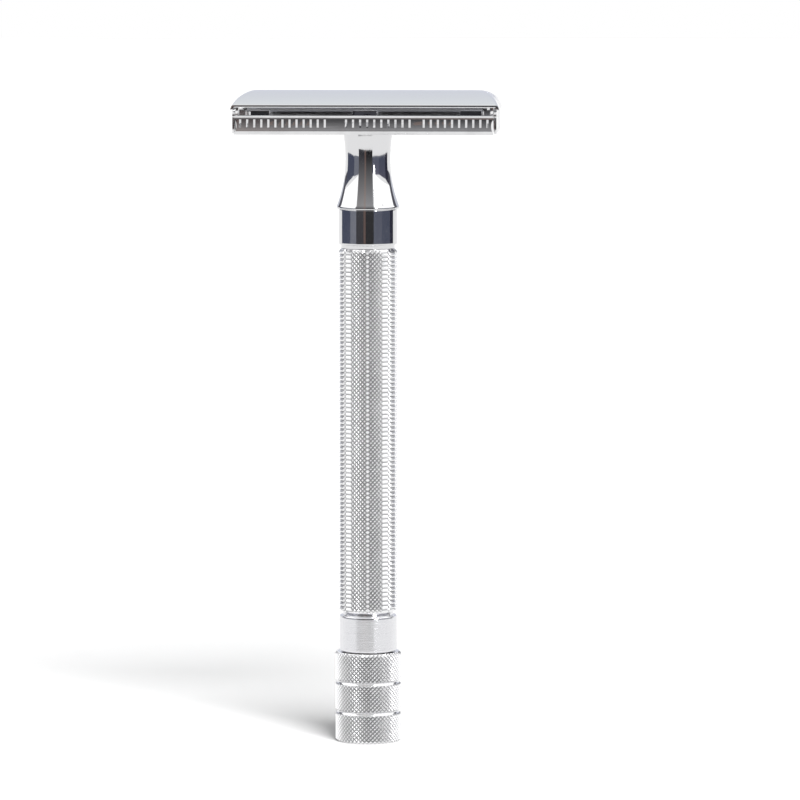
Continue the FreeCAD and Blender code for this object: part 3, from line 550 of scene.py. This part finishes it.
def carve(piece, tools, operation="DIFFERENCE"):
    """Takes the tools out of the piece, or adds them to it, and clears them away."""
    tool = joined("tool", tools)
    modifier = piece.modifiers.new("carve", "BOOLEAN")
    modifier.operation = operation
    modifier.solver = "EXACT"
    modifier.object = tool
    apply(piece, modifier)
    bpy.data.objects.remove(tool)


def apply(piece, modifier):
    bpy.ops.object.select_all(action="DESELECT")
    piece.select_set(True)
    bpy.context.view_layer.objects.active = piece
    bpy.ops.object.modifier_apply(modifier=modifier.name)


def soften(piece, width, angle=40, steps=2):
    """Rounds the edges that turn more than the angle."""
    modifier = piece.modifiers.new("soften", "BEVEL")
    modifier.width = width
    modifier.segments = steps
    modifier.limit_method = "ANGLE"
    modifier.angle_limit = math.radians(angle)
    apply(piece, modifier)


low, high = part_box("neck")
RIM_RADIUS = high.x
RIM_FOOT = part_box("collar")[1].z
RIM_HEIGHT = 0.35 * MM
WAIST_RADIUS, WAIST_HEIGHT = 3.8 * MM, 98.7 * MM
NECK_HEAD_RADIUS, NECK_HEAD_HEIGHT = 4.07 * MM, 102.7 * MM
FLARE_CURVE, SWELL_CURVE = 22 * MM, 30 * MM
NECK_TOP = 107.5 * MM
NECK_ROUND = 0.12 * MM
BAR_SLOT_HALF, BAR_SLOT_FLOOR = 1.1 * MM, 103.05 * MM
rim_top = (RIM_RADIUS, RIM_FOOT + RIM_HEIGHT)
waist = (WAIST_RADIUS, WAIST_HEIGHT)
neck_head = (NECK_HEAD_RADIUS, NECK_HEAD_HEIGHT)
neck = turned(
    "neck_flared",
    rounded(
        [
            (ROD_BORE, COLLAR_FOOT),
            (SOCKET_RADIUS, COLLAR_FOOT),
            (SOCKET_RADIUS, RIM_FOOT),
            (RIM_RADIUS, RIM_FOOT),
            rim_top,
            *arc(rim_top, waist, -FLARE_CURVE, 24),
            *arc(waist, neck_head, -SWELL_CURVE, 10),
            (NECK_HEAD_RADIUS, NECK_TOP),
            (ROD_BORE, NECK_TOP),
            (ROD_BORE, COLLAR_FOOT),
        ],
        NECK_ROUND,
        sharpest=25,
    ),
    160,
)
carve(
    neck,
    [
        block(
            (-2 * RIM_RADIUS, -BAR_SLOT_HALF, BAR_SLOT_FLOOR),
            (2 * RIM_RADIUS, BAR_SLOT_HALF, NECK_TOP + MM),
        )
    ],
)
smooth(neck)

# Painted shade: the neck's colour turns near-black where it goes up inside the tray.
SHADED_FROM, SHADE_BLEND = 105.3 * MM, 0.3 * MM
neck_plating = mirror_plate("neck_plating")
# Painted shade: the share of near-black, rising with height inside the tray.
inside = ((neck_plating.z - SHADED_FROM) / SHADE_BLEND).clamped()
neck_plating.wear("Base Color", neck_plating.tint(inside, (0.74, 0.74, 0.75), (0.06, 0.06, 0.07)))
neck.data.materials.append(neck_plating.material)
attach(neck, "handle")
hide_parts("neck")

# ---------------------------------------------------------------- rod and lift bar
# The bright rod in the handle, with its stop collar, lifts the bar that runs under the bed. The
# bar's forks hold the four pins that reach into the doors' slotted ears.
lift_steel = drawn_steel("lift_steel", (0.58, 0.58, 0.59), 0.24)
for node in ("lift_rod", "rod_stop_collar", "lift_bar", "lift_pins"):
    dress(node, lift_steel)

# ---------------------------------------------------------------- tray
# The bed under the blade and both guard bars, pressed from one plated sheet: the bed curves with
# the blade, drops into a valley for lather at each side and rises again to the slotted guard.
SHEET = 0.5 * MM
BLADE_CURVE = 58.0 * MM
BLADE_WALL = 0.1 * MM
BLADE_PLAY = 0.05 * MM
blade_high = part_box("blade")[1]
CURVE_AXIS = blade_high.z - BLADE_CURVE
BED_CURVE = BLADE_CURVE - BLADE_WALL - BLADE_PLAY
BED_REACH = 9.25 * MM
VALLEY_INNER, VALLEY_OUTER, VALLEY_HEIGHT = 10.05 * MM, 10.9 * MM, 105.3 * MM
CREST_INNER, CREST_OUTER = (11.75 * MM, 106.15 * MM), (12.34 * MM, 105.82 * MM)
FACE_FOOT, LIP = (12.7 * MM, 103.8 * MM), (12.93 * MM, 103.45 * MM)
CREST_CURVE, FACE_CURVE, LIP_CURVE = 0.36 * MM, 6.0 * MM, 0.9 * MM
SHEET_ROUND = 0.28 * MM
TRAY_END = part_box("tray")[1].x


def pressed(name, path, half_length):
    """A straight edge along X drawn out from point to point, (y, z), as a sheet."""
    bpy.ops.object.select_all(action="DESELECT")
    bpy.ops.mesh.primitive_plane_add(size=1)
    piece = bpy.context.object
    piece.name = name
    pick(piece, lambda v: v.y > 0)
    edit(lambda: bpy.ops.mesh.delete(type="VERT"))
    bpy.ops.object.mode_set(mode="EDIT")
    bpy.ops.mesh.select_all(action="SELECT")
    bpy.ops.transform.resize(value=(2 * half_length, 1, 1), center_override=(0, 0, 0))
    start = Vector(path[0])
    bpy.ops.transform.translate(value=(0, start.x + 0.5, start.y))
    for before, after in zip(path, path[1:]):
        step = Vector(after) - Vector(before)
        move = {"value": (0, step.x, step.y)}
        bpy.ops.mesh.extrude_region_move(TRANSFORM_OT_translate=move)
    bpy.ops.object.mode_set(mode="OBJECT")
    edit(close_up)
    return piece


def thicken(piece, wall, offset=0.0):
    """Gives a sheet its wall."""
    modifier = piece.modifiers.new("wall", "SOLIDIFY")
    modifier.thickness = wall
    modifier.offset = offset
    modifier.use_even_offset = True
    apply(piece, modifier)


def both_sides(low, high):
    """The same block at the front and at the back."""
    (x0, y0, z0), (x1, y1, z1) = low, high
    return [block((x0, y0, z0), (x1, y1, z1)), block((x0, -y1, z0), (x1, -y0, z1))]


bed_mid = BED_CURVE - SHEET / 2
bed_edge = CURVE_AXIS + math.sqrt(bed_mid**2 - BED_REACH**2)
side = [
    LIP,
    *arc(LIP, FACE_FOOT, -LIP_CURVE, 5),
    *arc(FACE_FOOT, CREST_OUTER, -FACE_CURVE, 8),
    *arc(CREST_OUTER, CREST_INNER, CREST_CURVE, 8),
    (VALLEY_OUTER, VALLEY_HEIGHT),
    (VALLEY_INNER, VALLEY_HEIGHT),
    (BED_REACH, bed_edge),
]
path = [Vector(point) for point in side]
path += arc((BED_REACH, bed_edge), (-BED_REACH, bed_edge), bed_mid, 32)
path += [Vector((-point[0], point[1])) for point in reversed(side[:-1])]
tray = pressed("tray_pressed", rounded(path, SHEET_ROUND, sharpest=20), TRAY_END)
thicken(tray, SHEET)

GUARD_PLACES = 36
GUARD_PLAIN = (13, 14, 25)
GUARD_SLOT_FIRST = 20.5 * MM
GUARD_SLOT_HALF = 0.18 * MM
GUARD_SLOT_LOW, GUARD_SLOT_HIGH = 104.45 * MM, 105.8 * MM
GUARD_SLOT_INNER, GUARD_SLOT_OUTER = 11.95 * MM, 14 * MM
LATHER_STRETCHES = ((-19.4 * MM, -15.9 * MM), (-2 * MM, 2 * MM), (15.9 * MM, 19.4 * MM))
LATHER_INNER, LATHER_OUTER = 8.95 * MM, 11.25 * MM
LATHER_BOTTOM, LATHER_TOP = 104.3 * MM, 107.15 * MM
slots = []
for place in range(GUARD_PLACES):
    if place in GUARD_PLAIN:
        continue
    x = GUARD_SLOT_FIRST * (2 * place / (GUARD_PLACES - 1) - 1)
    slots += both_sides(
        (x - GUARD_SLOT_HALF, GUARD_SLOT_INNER, GUARD_SLOT_LOW),
        (x + GUARD_SLOT_HALF, GUARD_SLOT_OUTER, GUARD_SLOT_HIGH),
    )
for start, end in LATHER_STRETCHES:
    slots += both_sides((start, LATHER_INNER, LATHER_BOTTOM), (end, LATHER_OUTER, LATHER_TOP))
carve(tray, slots)

BED_END = 20.25 * MM
FORK_BAY = 9.35 * MM
EAR_BAY_START, EAR_BAY = 20.9 * MM, 11.6 * MM
SCALLOP_RADIUS, SCALLOP_DEPTH, SCALLOP_HEIGHT = 2.3 * MM, 0.4 * MM, 104.7 * MM
LUG_START, LUG_END, LUG_OUTER, LUG_TOP = 19.85 * MM, 20.85 * MM, 10.2 * MM, 107.2 * MM
BELOW_TRAY, ABOVE_TRAY = 102 * MM, 111 * MM
past = TRAY_END + MM
for end in (-1, 1):
    fork_x = sorted((end * BED_END, end * past))
    ear_x = sorted((end * EAR_BAY_START, end * past))
    scallop_x = end * (TRAY_END - SCALLOP_DEPTH + SCALLOP_RADIUS)
    for bay_x, bay_y in ((fork_x, FORK_BAY), (ear_x, EAR_BAY)):
        carve(tray, [block((bay_x[0], -bay_y, BELOW_TRAY), (bay_x[1], bay_y, ABOVE_TRAY))])
    hollows = []
    for y in (-1, 1):
        near, far = ((scallop_x, y * reach, SCALLOP_HEIGHT) for reach in (EAR_BAY, GUARD_SLOT_OUTER))
        hollows.append(round_bar(SCALLOP_RADIUS, near, far, 96))
    carve(tray, hollows)
    lug_x = sorted((end * LUG_START, end * LUG_END))
    lugs = both_sides((lug_x[0], FORK_BAY, VALLEY_HEIGHT), (lug_x[1], LUG_OUTER, LUG_TOP))
    carve(tray, lugs, "UNION")

RIVET_REACH, RIVET_RADIUS = 2.7 * MM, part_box("neck_rivets")[1].x
LOCATOR_X, LOCATOR_SHANK = 12.0 * MM, 0.7 * MM
HOLE_FOOT, HOLE_HEAD = 106 * MM, 109 * MM
holes = []
for radius, x, y in (
    (RIVET_RADIUS, 0, -RIVET_REACH),
    (RIVET_RADIUS, 0, RIVET_REACH),
    (LOCATOR_SHANK, -LOCATOR_X, 0),
    (LOCATOR_SHANK, LOCATOR_X, 0),
):
    holes.append(round_bar(radius, (x, y, HOLE_FOOT), (x, y, HOLE_HEAD)))
carve(tray, holes)
soften(tray, 0.06 * MM, angle=38)
smooth(tray, 35)


def pressed_plate(name):
    """Plated pressing: bright, with the draw lines of the die along X and water-dulled patches."""
    finish = Finish(name, (0.82, 0.82, 0.83), 0.09)
    drawn = finish.noise(0.25 * MM, 3.0, (14, 1, 1))
    dull = (finish.noise(3 * MM, 4.0) * 2.2 - 0.9).clamped()
    finish.wear("Roughness", 0.06 + drawn * 0.05 + dull * 0.10)
    finish.wear("Base Color", finish.tint(dull, (0.76, 0.76, 0.77), (0.62, 0.62, 0.63)))
    finish.relief(drawn, 0.003 * MM)
    return finish.material


tray_plating = pressed_plate("tray_plating")
tray.data.materials.append(tray_plating)
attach(tray, "handle")
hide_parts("tray")

# ---------------------------------------------------------------- rivets and locating pins
# Two steel rivets hold the tray on the neck. Two headed pins in the bed fit the blade's holes and
# keep it square.
for node in ("neck_rivets", "blade_locating_pins"):
    dress(node, steel)

# ---------------------------------------------------------------- guides of the lift bar
# Four plain steel strips brazed under the bed beside the lift bar: dull, and coloured near-black as
# painted shade for the dark under the bed.
guide_painted_shade = Finish("guide_painted_shade", (0.05, 0.05, 0.055), 0.5)
guide_painted_shade.wear("Roughness", 0.42 + guide_painted_shade.noise(1.5 * MM, 3.0) * 0.2)
dress("bar_guides", guide_painted_shade.material)

# ---------------------------------------------------------------- end plates and pivots
# A small plate closes each end of the tray, brazed on, with its upper corners rounded about the
# pivot pins that the doors swing on.
plate_low, plate_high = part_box("end_plate_right")
PLATE_SHOULDER = 106.0 * MM
PIVOT_REACH, PIVOT_HEIGHT = 10.5 * MM, 106.35 * MM
PIVOT_RADIUS = 0.45 * MM
PLATE_BOSS = plate_high.z - PIVOT_HEIGHT
for name, end in (("left", -1), ("right", 1)):
    x0, x1 = sorted((end * plate_low.x, end * plate_high.x))
    plate = block((x0, plate_low.y, plate_low.z), (x1, plate_high.y, PLATE_SHOULDER))
    plate.name = "end_plate_%s_brazed" % name
    top = [block((x0, -PIVOT_REACH, plate_low.z + MM), (x1, PIVOT_REACH, plate_high.z))]
    carve(plate, top, "UNION")
    for y in (-PIVOT_REACH, PIVOT_REACH):
        boss = round_bar(PLATE_BOSS, (x0, y, PIVOT_HEIGHT), (x1, y, PIVOT_HEIGHT), 64)
        carve(plate, [boss], "UNION")
        hole_ends = ((x0 - MM, y, PIVOT_HEIGHT), (x1 + MM, y, PIVOT_HEIGHT))
        carve(plate, [round_bar(PIVOT_RADIUS, *hole_ends, 40)])
    soften(plate, 0.09 * MM, steps=3)
    smooth(plate, 35)
    plate.data.materials.append(tray_plating)
    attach(plate, "handle")
    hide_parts("end_plate_" + name)
dress("pivot_pins", steel)

# ---------------------------------------------------------------- blade
# A standard double-edge blade of thin hard steel, clamped to the curve of the bed. Both long
# edges are ground and honed, and the waxed middle has the long slot that fits every razor.
BLADE_REACH = blade_high.y
BLADE_BEVEL = 0.35 * MM
BESIDE_BLADE = 12 * MM
EDGE_HALF = 19.6 * MM
TAB_HALF = 6.4 * MM
SLOT_END, SLOT_HALF = 16.5 * MM, 0.9 * MM
CENTRE_HOLE, PIN_HOLE = 2.9 * MM, 1.62 * MM


def on_curve(radius, y):
    return (y, CURVE_AXIS + math.sqrt(radius**2 - y**2))


inner = BLADE_REACH - BLADE_BEVEL
under = BLADE_CURVE - BLADE_WALL
edge_height = on_curve(BLADE_CURVE, BLADE_REACH)[1] - BLADE_WALL / 2
blade = pressed(
    "blade_ground",
    [
        on_curve(under, -inner),
        (-BLADE_REACH, edge_height),
        on_curve(BLADE_CURVE, -inner),
        *arc(on_curve(BLADE_CURVE, -inner), on_curve(BLADE_CURVE, inner), -BLADE_CURVE, 24),
        (BLADE_REACH, edge_height),
        on_curve(under, inner),
        *arc(on_curve(under, inner), on_curve(under, -inner), under, 24),
    ],
    blade_high.x,
)
for end in (-1, 1):
    pick(blade, lambda v: abs(v.x - end * blade_high.x) < 1e-6)
    edit(bpy.ops.mesh.edge_face_add)
edit(close_up)
BLADE_SLAB = (105 * MM, 110 * MM)
for end in (-1, 1):
    x0, x1 = sorted((end * EDGE_HALF, end * (blade_high.x + MM)))
    corners = both_sides((x0, TAB_HALF, BLADE_SLAB[0]), (x1, BESIDE_BLADE, BLADE_SLAB[1]))
    carve(blade, corners)
carve(blade, [block((-SLOT_END, -SLOT_HALF, BLADE_SLAB[0]), (SLOT_END, SLOT_HALF, BLADE_SLAB[1]))])
rounds = [(0, CENTRE_HOLE), (-LOCATOR_X, PIN_HOLE), (LOCATOR_X, PIN_HOLE)]
rounds += [(-SLOT_END, SLOT_HALF), (SLOT_END, SLOT_HALF)]
for x, radius in rounds:
    carve(blade, [round_bar(radius, (x, 0, BLADE_SLAB[0]), (x, 0, BLADE_SLAB[1]))])
smooth(blade, 12)

GROUND_WIDTH, GROUND_BLEND = 0.55 * MM, 0.05 * MM
honed = Finish("blade_steel", (0.55, 0.56, 0.58), 0.3)
ground = ((honed.y.math("ABSOLUTE") - (inner - GROUND_WIDTH)) / GROUND_BLEND).clamped()
grain = honed.noise(0.05 * MM, 3.0, (1, 10, 1))
wax = (honed.noise(2.5 * MM, 4.0) * 1.8 - 0.6).clamped()
middle = honed.tint(wax, (0.50, 0.51, 0.54), (0.40, 0.42, 0.46))
honed.wear("Base Color", honed.node(
    "Mix", {"data_type": "RGBA"}, {"Factor": ground, 6: middle, 7: (0.86, 0.86, 0.87, 1)}, output=2
))
honed.wear("Roughness", 0.26 - ground * 0.12 + grain * 0.10 + wax * 0.08)
honed.relief(grain, 0.002 * MM)
blade.data.materials.append(honed.material)
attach(blade, "handle")
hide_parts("blade")

# ---------------------------------------------------------------- doors
# The cap is two pressed doors that meet along the ridge: each a gently domed shell with rounded
# ends, and an ear inside each end with the pivot hole and the slot for the lift pin.
CROWN_CURVE = 24.0 * MM
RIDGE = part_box("front_door")[1].z
DOOR_REACH, DOOR_SEAM = 10.3 * MM, 0.05 * MM
DOOR_WALL = 0.42 * MM
HIP_START, HIP_CURVE, SKIRT = 18.4 * MM, 4.1 * MM, 107.3 * MM
HIP_STEPS, RIDGE_STEPS, DOOR_STEPS = 16, 24, 24
MITRE_BLEND = 0.35 * MM
EAR_INNER, EAR_OUTER = 21.0 * MM, 21.43 * MM


def crown_height(y):
    """Height of the dome above a place across it."""
    return RIDGE - CROWN_CURVE + math.sqrt(CROWN_CURVE**2 - y * y)


def lower_of(a, b, blend):
    """The lower of two heights, run smoothly into each other."""
    mix = max(0.0, min(1.0, 0.5 + (b - a) / (2 * blend)))
    return b + (a - b) * mix - blend * mix * (1 - mix)


hip_drop = math.acos((SKIRT - RIDGE + HIP_CURVE) / HIP_CURVE)
hip = []
for step in range(HIP_STEPS + 1):
    slope = hip_drop * (1 - step / HIP_STEPS)
    x = HIP_START + HIP_CURVE * math.sin(slope)
    hip.append((x, RIDGE - HIP_CURVE + HIP_CURVE * math.cos(slope)))
ridge_line = list(hip)
ridge_line += [(HIP_START * (1 - 2 * n / RIDGE_STEPS), RIDGE) for n in range(1, RIDGE_STEPS)]
ridge_line += [(-x, z) for x, z in reversed(hip)]
shell = pressed("front_door_shell", ridge_line, (DOOR_REACH - DOOR_SEAM) / 2)
bpy.ops.object.mode_set(mode="EDIT")
bpy.ops.mesh.select_all(action="SELECT")
bpy.ops.transform.rotate(value=math.pi / 2, orient_axis="Z", center_override=(0, 0, 0))
bpy.ops.transform.translate(value=(0, -(DOOR_REACH + DOOR_SEAM) / 2, 0))
bpy.ops.mesh.select_all(action="DESELECT")
bpy.ops.object.mode_set(mode="OBJECT")
for cut_at in range(1, DOOR_STEPS):
    y = -DOOR_SEAM - (DOOR_REACH - DOOR_SEAM) * cut_at / DOOR_STEPS
    pick(shell, lambda v: True)
    edit(lambda: bpy.ops.mesh.bisect(plane_co=(0, y, 0), plane_no=(0, 1, 0)))
for vertex in shell.data.vertices:
    height = lower_of(vertex.co.z, crown_height(vertex.co.y), MITRE_BLEND)
    vertex.co.z = min(height, RIDGE)
edit(close_up)
if sum(f.normal.z for f in shell.data.polygons) < 0:
    pick(shell, lambda v: True)
    edit(bpy.ops.mesh.flip_normals)
thicken(shell, DOOR_WALL, offset=-1.0)
for vertex in shell.data.vertices:
    if vertex.co.y < DOOR_WALL / 2 - DOOR_REACH:
        vertex.co.y = -DOOR_REACH
soften(shell, 0.08 * MM, angle=50, steps=3)

WEB_INNER, WEB_OUTER, WEB_FOOT = 7.2 * MM, 10.2 * MM, 105.6 * MM
ARM_SLOPE = math.radians(40)
ARM_HALF, ARM_SLOT_HALF = 1.0 * MM, 0.6 * MM
ARM_SLOT = (2.1 * MM, 2.85 * MM)
EAR_FOOT = 0.95 * MM
EAR_ROOF, ROOF_BLEND = 109.0 * MM, 0.1 * MM
PIVOT_HOLE = 0.5 * MM


def along_arm(distance, x):
    """A place on the arm's middle line, down and in from the pivot."""
    y = distance * math.cos(ARM_SLOPE) - PIVOT_REACH
    return Vector((x, y, PIVOT_HEIGHT - distance * math.sin(ARM_SLOPE)))


def arm_block(start, end, half, x0, x1):
    """A block along the arm."""
    arm = block((x0, start, -half), (x1, end, half))
    pick(arm, lambda v: True)
    bpy.ops.object.mode_set(mode="EDIT")
    turn = {"orient_axis": "X", "center_override": (0, 0, 0)}
    bpy.ops.transform.rotate(value=ARM_SLOPE, **turn)
    bpy.ops.transform.translate(value=along_arm(0, 0))
    bpy.ops.object.mode_set(mode="OBJECT")
    return arm


ears = []
for x0, x1 in ((-EAR_OUTER, -EAR_INNER), (EAR_INNER, EAR_OUTER)):
    ear = block((x0, -WEB_OUTER, WEB_FOOT), (x1, -WEB_INNER, RIDGE))
    for y in (-WEB_OUTER, -WEB_INNER):
        roof = lower_of(crown_height(y), EAR_ROOF, ROOF_BLEND) - DOOR_WALL / 2
        pick(ear, lambda v: v.z > RIDGE - MM and abs(v.y - y) < 1e-6)
        edit(lambda: bpy.ops.transform.translate(value=(0, 0, roof - RIDGE)))
    foot = along_arm(0, x0), along_arm(0, x1)
    carve(ear, [round_bar(EAR_FOOT, *foot)], "UNION")
    carve(ear, [arm_block(0, ARM_SLOT[1], ARM_HALF, x0, x1)], "UNION")
    tip = along_arm(ARM_SLOT[1], x0), along_arm(ARM_SLOT[1], x1)
    carve(ear, [round_bar(ARM_HALF, *tip)], "UNION")
    out0, out1 = x0 - MM / 2, x1 + MM / 2
    carve(ear, [round_bar(PIVOT_HOLE, along_arm(0, out0), along_arm(0, out1))])
    for distance in ARM_SLOT:
        slot_end = along_arm(distance, out0), along_arm(distance, out1)
        carve(ear, [round_bar(ARM_SLOT_HALF, *slot_end)])
    carve(ear, [arm_block(*ARM_SLOT, ARM_SLOT_HALF, out0, out1)])
    soften(ear, 0.05 * MM)
    ears.append(ear)
front_door = joined("front_door_pressed", [shell, *ears])
smooth(front_door, 32)
door_plating = mirror_plate("door_plating", (0.84, 0.84, 0.85), 0.07).material
front_door.data.materials.clear()
front_door.data.materials.append(door_plating)

bpy.ops.object.select_all(action="DESELECT")
front_door.select_set(True)
bpy.context.view_layer.objects.active = front_door
bpy.ops.object.duplicate()
back_door = bpy.context.object
back_door.name = "back_door_pressed"
back_door.rotation_euler = (0, 0, math.pi)
bpy.ops.object.transform_apply(location=True, rotation=True, scale=True)
for door, body in ((front_door, "front_door"), (back_door, "back_door")):
    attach(door, body)
    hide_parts(body)

# ---------------------------------------------------------------- floor, lights and camera
# The razor stands on a pale table in a white room, under one broad lamp at the front right.
# Cards stand round it, which only reflections show, and give the polished metal its streaks.
TABLE_FRONT, TABLE_BACK, TABLE_HALF = 0.62, 6.0, 0.9
bpy.ops.object.select_all(action="DESELECT")
bpy.ops.mesh.primitive_plane_add(size=1, location=(0, (TABLE_BACK - TABLE_FRONT) / 2, 0))
table = bpy.context.object
table.name = "table"
bpy.ops.transform.resize(value=(2 * TABLE_HALF, TABLE_BACK + TABLE_FRONT, 1))
bpy.ops.object.transform_apply(location=True, rotation=True, scale=True)
paper = Finish("white_table", (0.22, 0.22, 0.22), 0.8, metallic=0.0)
table.data.materials.append(paper.material)
table.visible_glossy = False

CARD_DISTANCE = 1.5
HEAD_LEVEL = 0.1
# Each card: degrees round from the front towards +X, start and end; degrees up as seen from the
# head, low and high; shade at the foot and at the top.
CARDS = (
    (-140, -121, 2, 30, (0.10, 0.10, 0.12), (0.14, 0.14, 0.16)),
    (-121, -70, -5, 9, (0.075, 0.085, 0.13), (0.09, 0.10, 0.14)),
    (-70, -44, -5, 9, (0.20, 0.21, 0.25), (0.20, 0.21, 0.25)),
    (-44, -14, -9, 44, (0.030, 0.030, 0.038), (0.42, 0.41, 0.41)),
    (-14, -6, -9, 44, (0.13, 0.085, 0.075), (0.42, 0.37, 0.35)),
    (-6, 26, -9, 44, (0.004, 0.004, 0.006), (0.42, 0.42, 0.43)),
    (33, 37, 2, 60, (14.0, 14.0, 14.0), (14.0, 14.0, 14.0)),
    (26, 60, -5, 9, (0.11, 0.12, 0.16), (0.14, 0.14, 0.19)),
    (60, 100, -5, 9, (0.08, 0.09, 0.13), (0.10, 0.10, 0.14)),
    (100, 121, -5, 9, (0.03, 0.03, 0.05), (0.04, 0.04, 0.06)),
    (121, 140, 2, 30, (0.10, 0.10, 0.12), (0.14, 0.14, 0.16)),
    (-120, -46, 12, 58, (1.5, 1.5, 1.5), (1.5, 1.5, 1.5)),
    (36, 120, 12, 58, (1.5, 1.5, 1.5), (1.5, 1.5, 1.5)),
    (140, 220, 2, 60, (0.66, 0.68, 0.76), (0.86, 0.90, 0.90)),
)


def card(name, start, end, low, high, foot_shade, top_shade):
    """An upright card round the table that only reflections show, shaded from foot to top."""
    middle, half = math.radians(start + end) / 2, math.radians(end - start) / 2
    foot = CARD_DISTANCE * math.tan(math.radians(low)) + HEAD_LEVEL
    top = CARD_DISTANCE * math.tan(math.radians(high)) + HEAD_LEVEL
    side, front = CARD_DISTANCE * math.sin(middle), CARD_DISTANCE * math.cos(middle)
    bpy.ops.object.select_all(action="DESELECT")
    bpy.ops.mesh.primitive_plane_add(
        size=1, location=(side, -front, (foot + top) / 2), rotation=(math.pi / 2, 0, middle)
    )
    made = bpy.context.object
    made.name = name
    made.scale = (2 * CARD_DISTANCE * math.tan(half), top - foot, 1)
    bpy.ops.object.transform_apply(location=True, rotation=True, scale=True)
    cloth = Finish(name, (0, 0, 0), 1.0, metallic=0.0)
    cloth.wear("Specular IOR Level", 0.0)
    rise = ((cloth.z - foot) / (top - foot)).clamped()
    cloth.wear("Emission Color", cloth.tint(rise, foot_shade, top_shade))
    cloth.wear("Emission Strength", 1.0)
    made.data.materials.append(cloth.material)
    made.visible_camera = False
    made.visible_diffuse = False
    made.visible_shadow = False


for n, facts in enumerate(CARDS):
    card("card_%d" % n, *facts)

KEY_SIDE, KEY_RISE, KEY_SPREAD = math.radians(22), math.radians(40), math.radians(34)
KEY_STRENGTH = 21.0
bpy.ops.object.select_all(action="DESELECT")
bpy.ops.object.light_add(type="SUN", rotation=(math.pi / 2 - KEY_RISE, 0, KEY_SIDE))
key = bpy.context.object
key.name = "key"
key.data.angle = KEY_SPREAD
key.data.energy = KEY_STRENGTH
key.visible_glossy = False

room = bpy.data.worlds.new("room")
bpy.context.scene.world = room
room.use_nodes = True
room.node_tree.nodes["Background"].inputs["Color"].default_value = (1, 1, 1, 1)
room.node_tree.nodes["Background"].inputs["Strength"].default_value = 1.0

CAMERA_DISTANCE = 0.820
CAMERA_HEIGHT = 0.135
CAMERA_SIDE = math.radians(3.2)
FRAMED_WIDTH = 0.1352
AIM_HEIGHT = 0.0580
AIM_SIDE = 0.0054
eye = Vector((math.sin(CAMERA_SIDE), -math.cos(CAMERA_SIDE), 0)) * CAMERA_DISTANCE
eye.z = CAMERA_HEIGHT
aim = Vector((math.cos(CAMERA_SIDE), math.sin(CAMERA_SIDE), 0)) * AIM_SIDE
aim.z = AIM_HEIGHT
bpy.ops.object.camera_add(location=eye)
camera = bpy.context.object
camera.rotation_euler = (aim - eye).to_track_quat("-Z", "Y").to_euler()
camera.data.lens = camera.data.sensor_width * (aim - eye).length / FRAMED_WIDTH
bpy.context.scene.camera = camera
bpy.context.scene.view_settings.view_transform = "Standard"
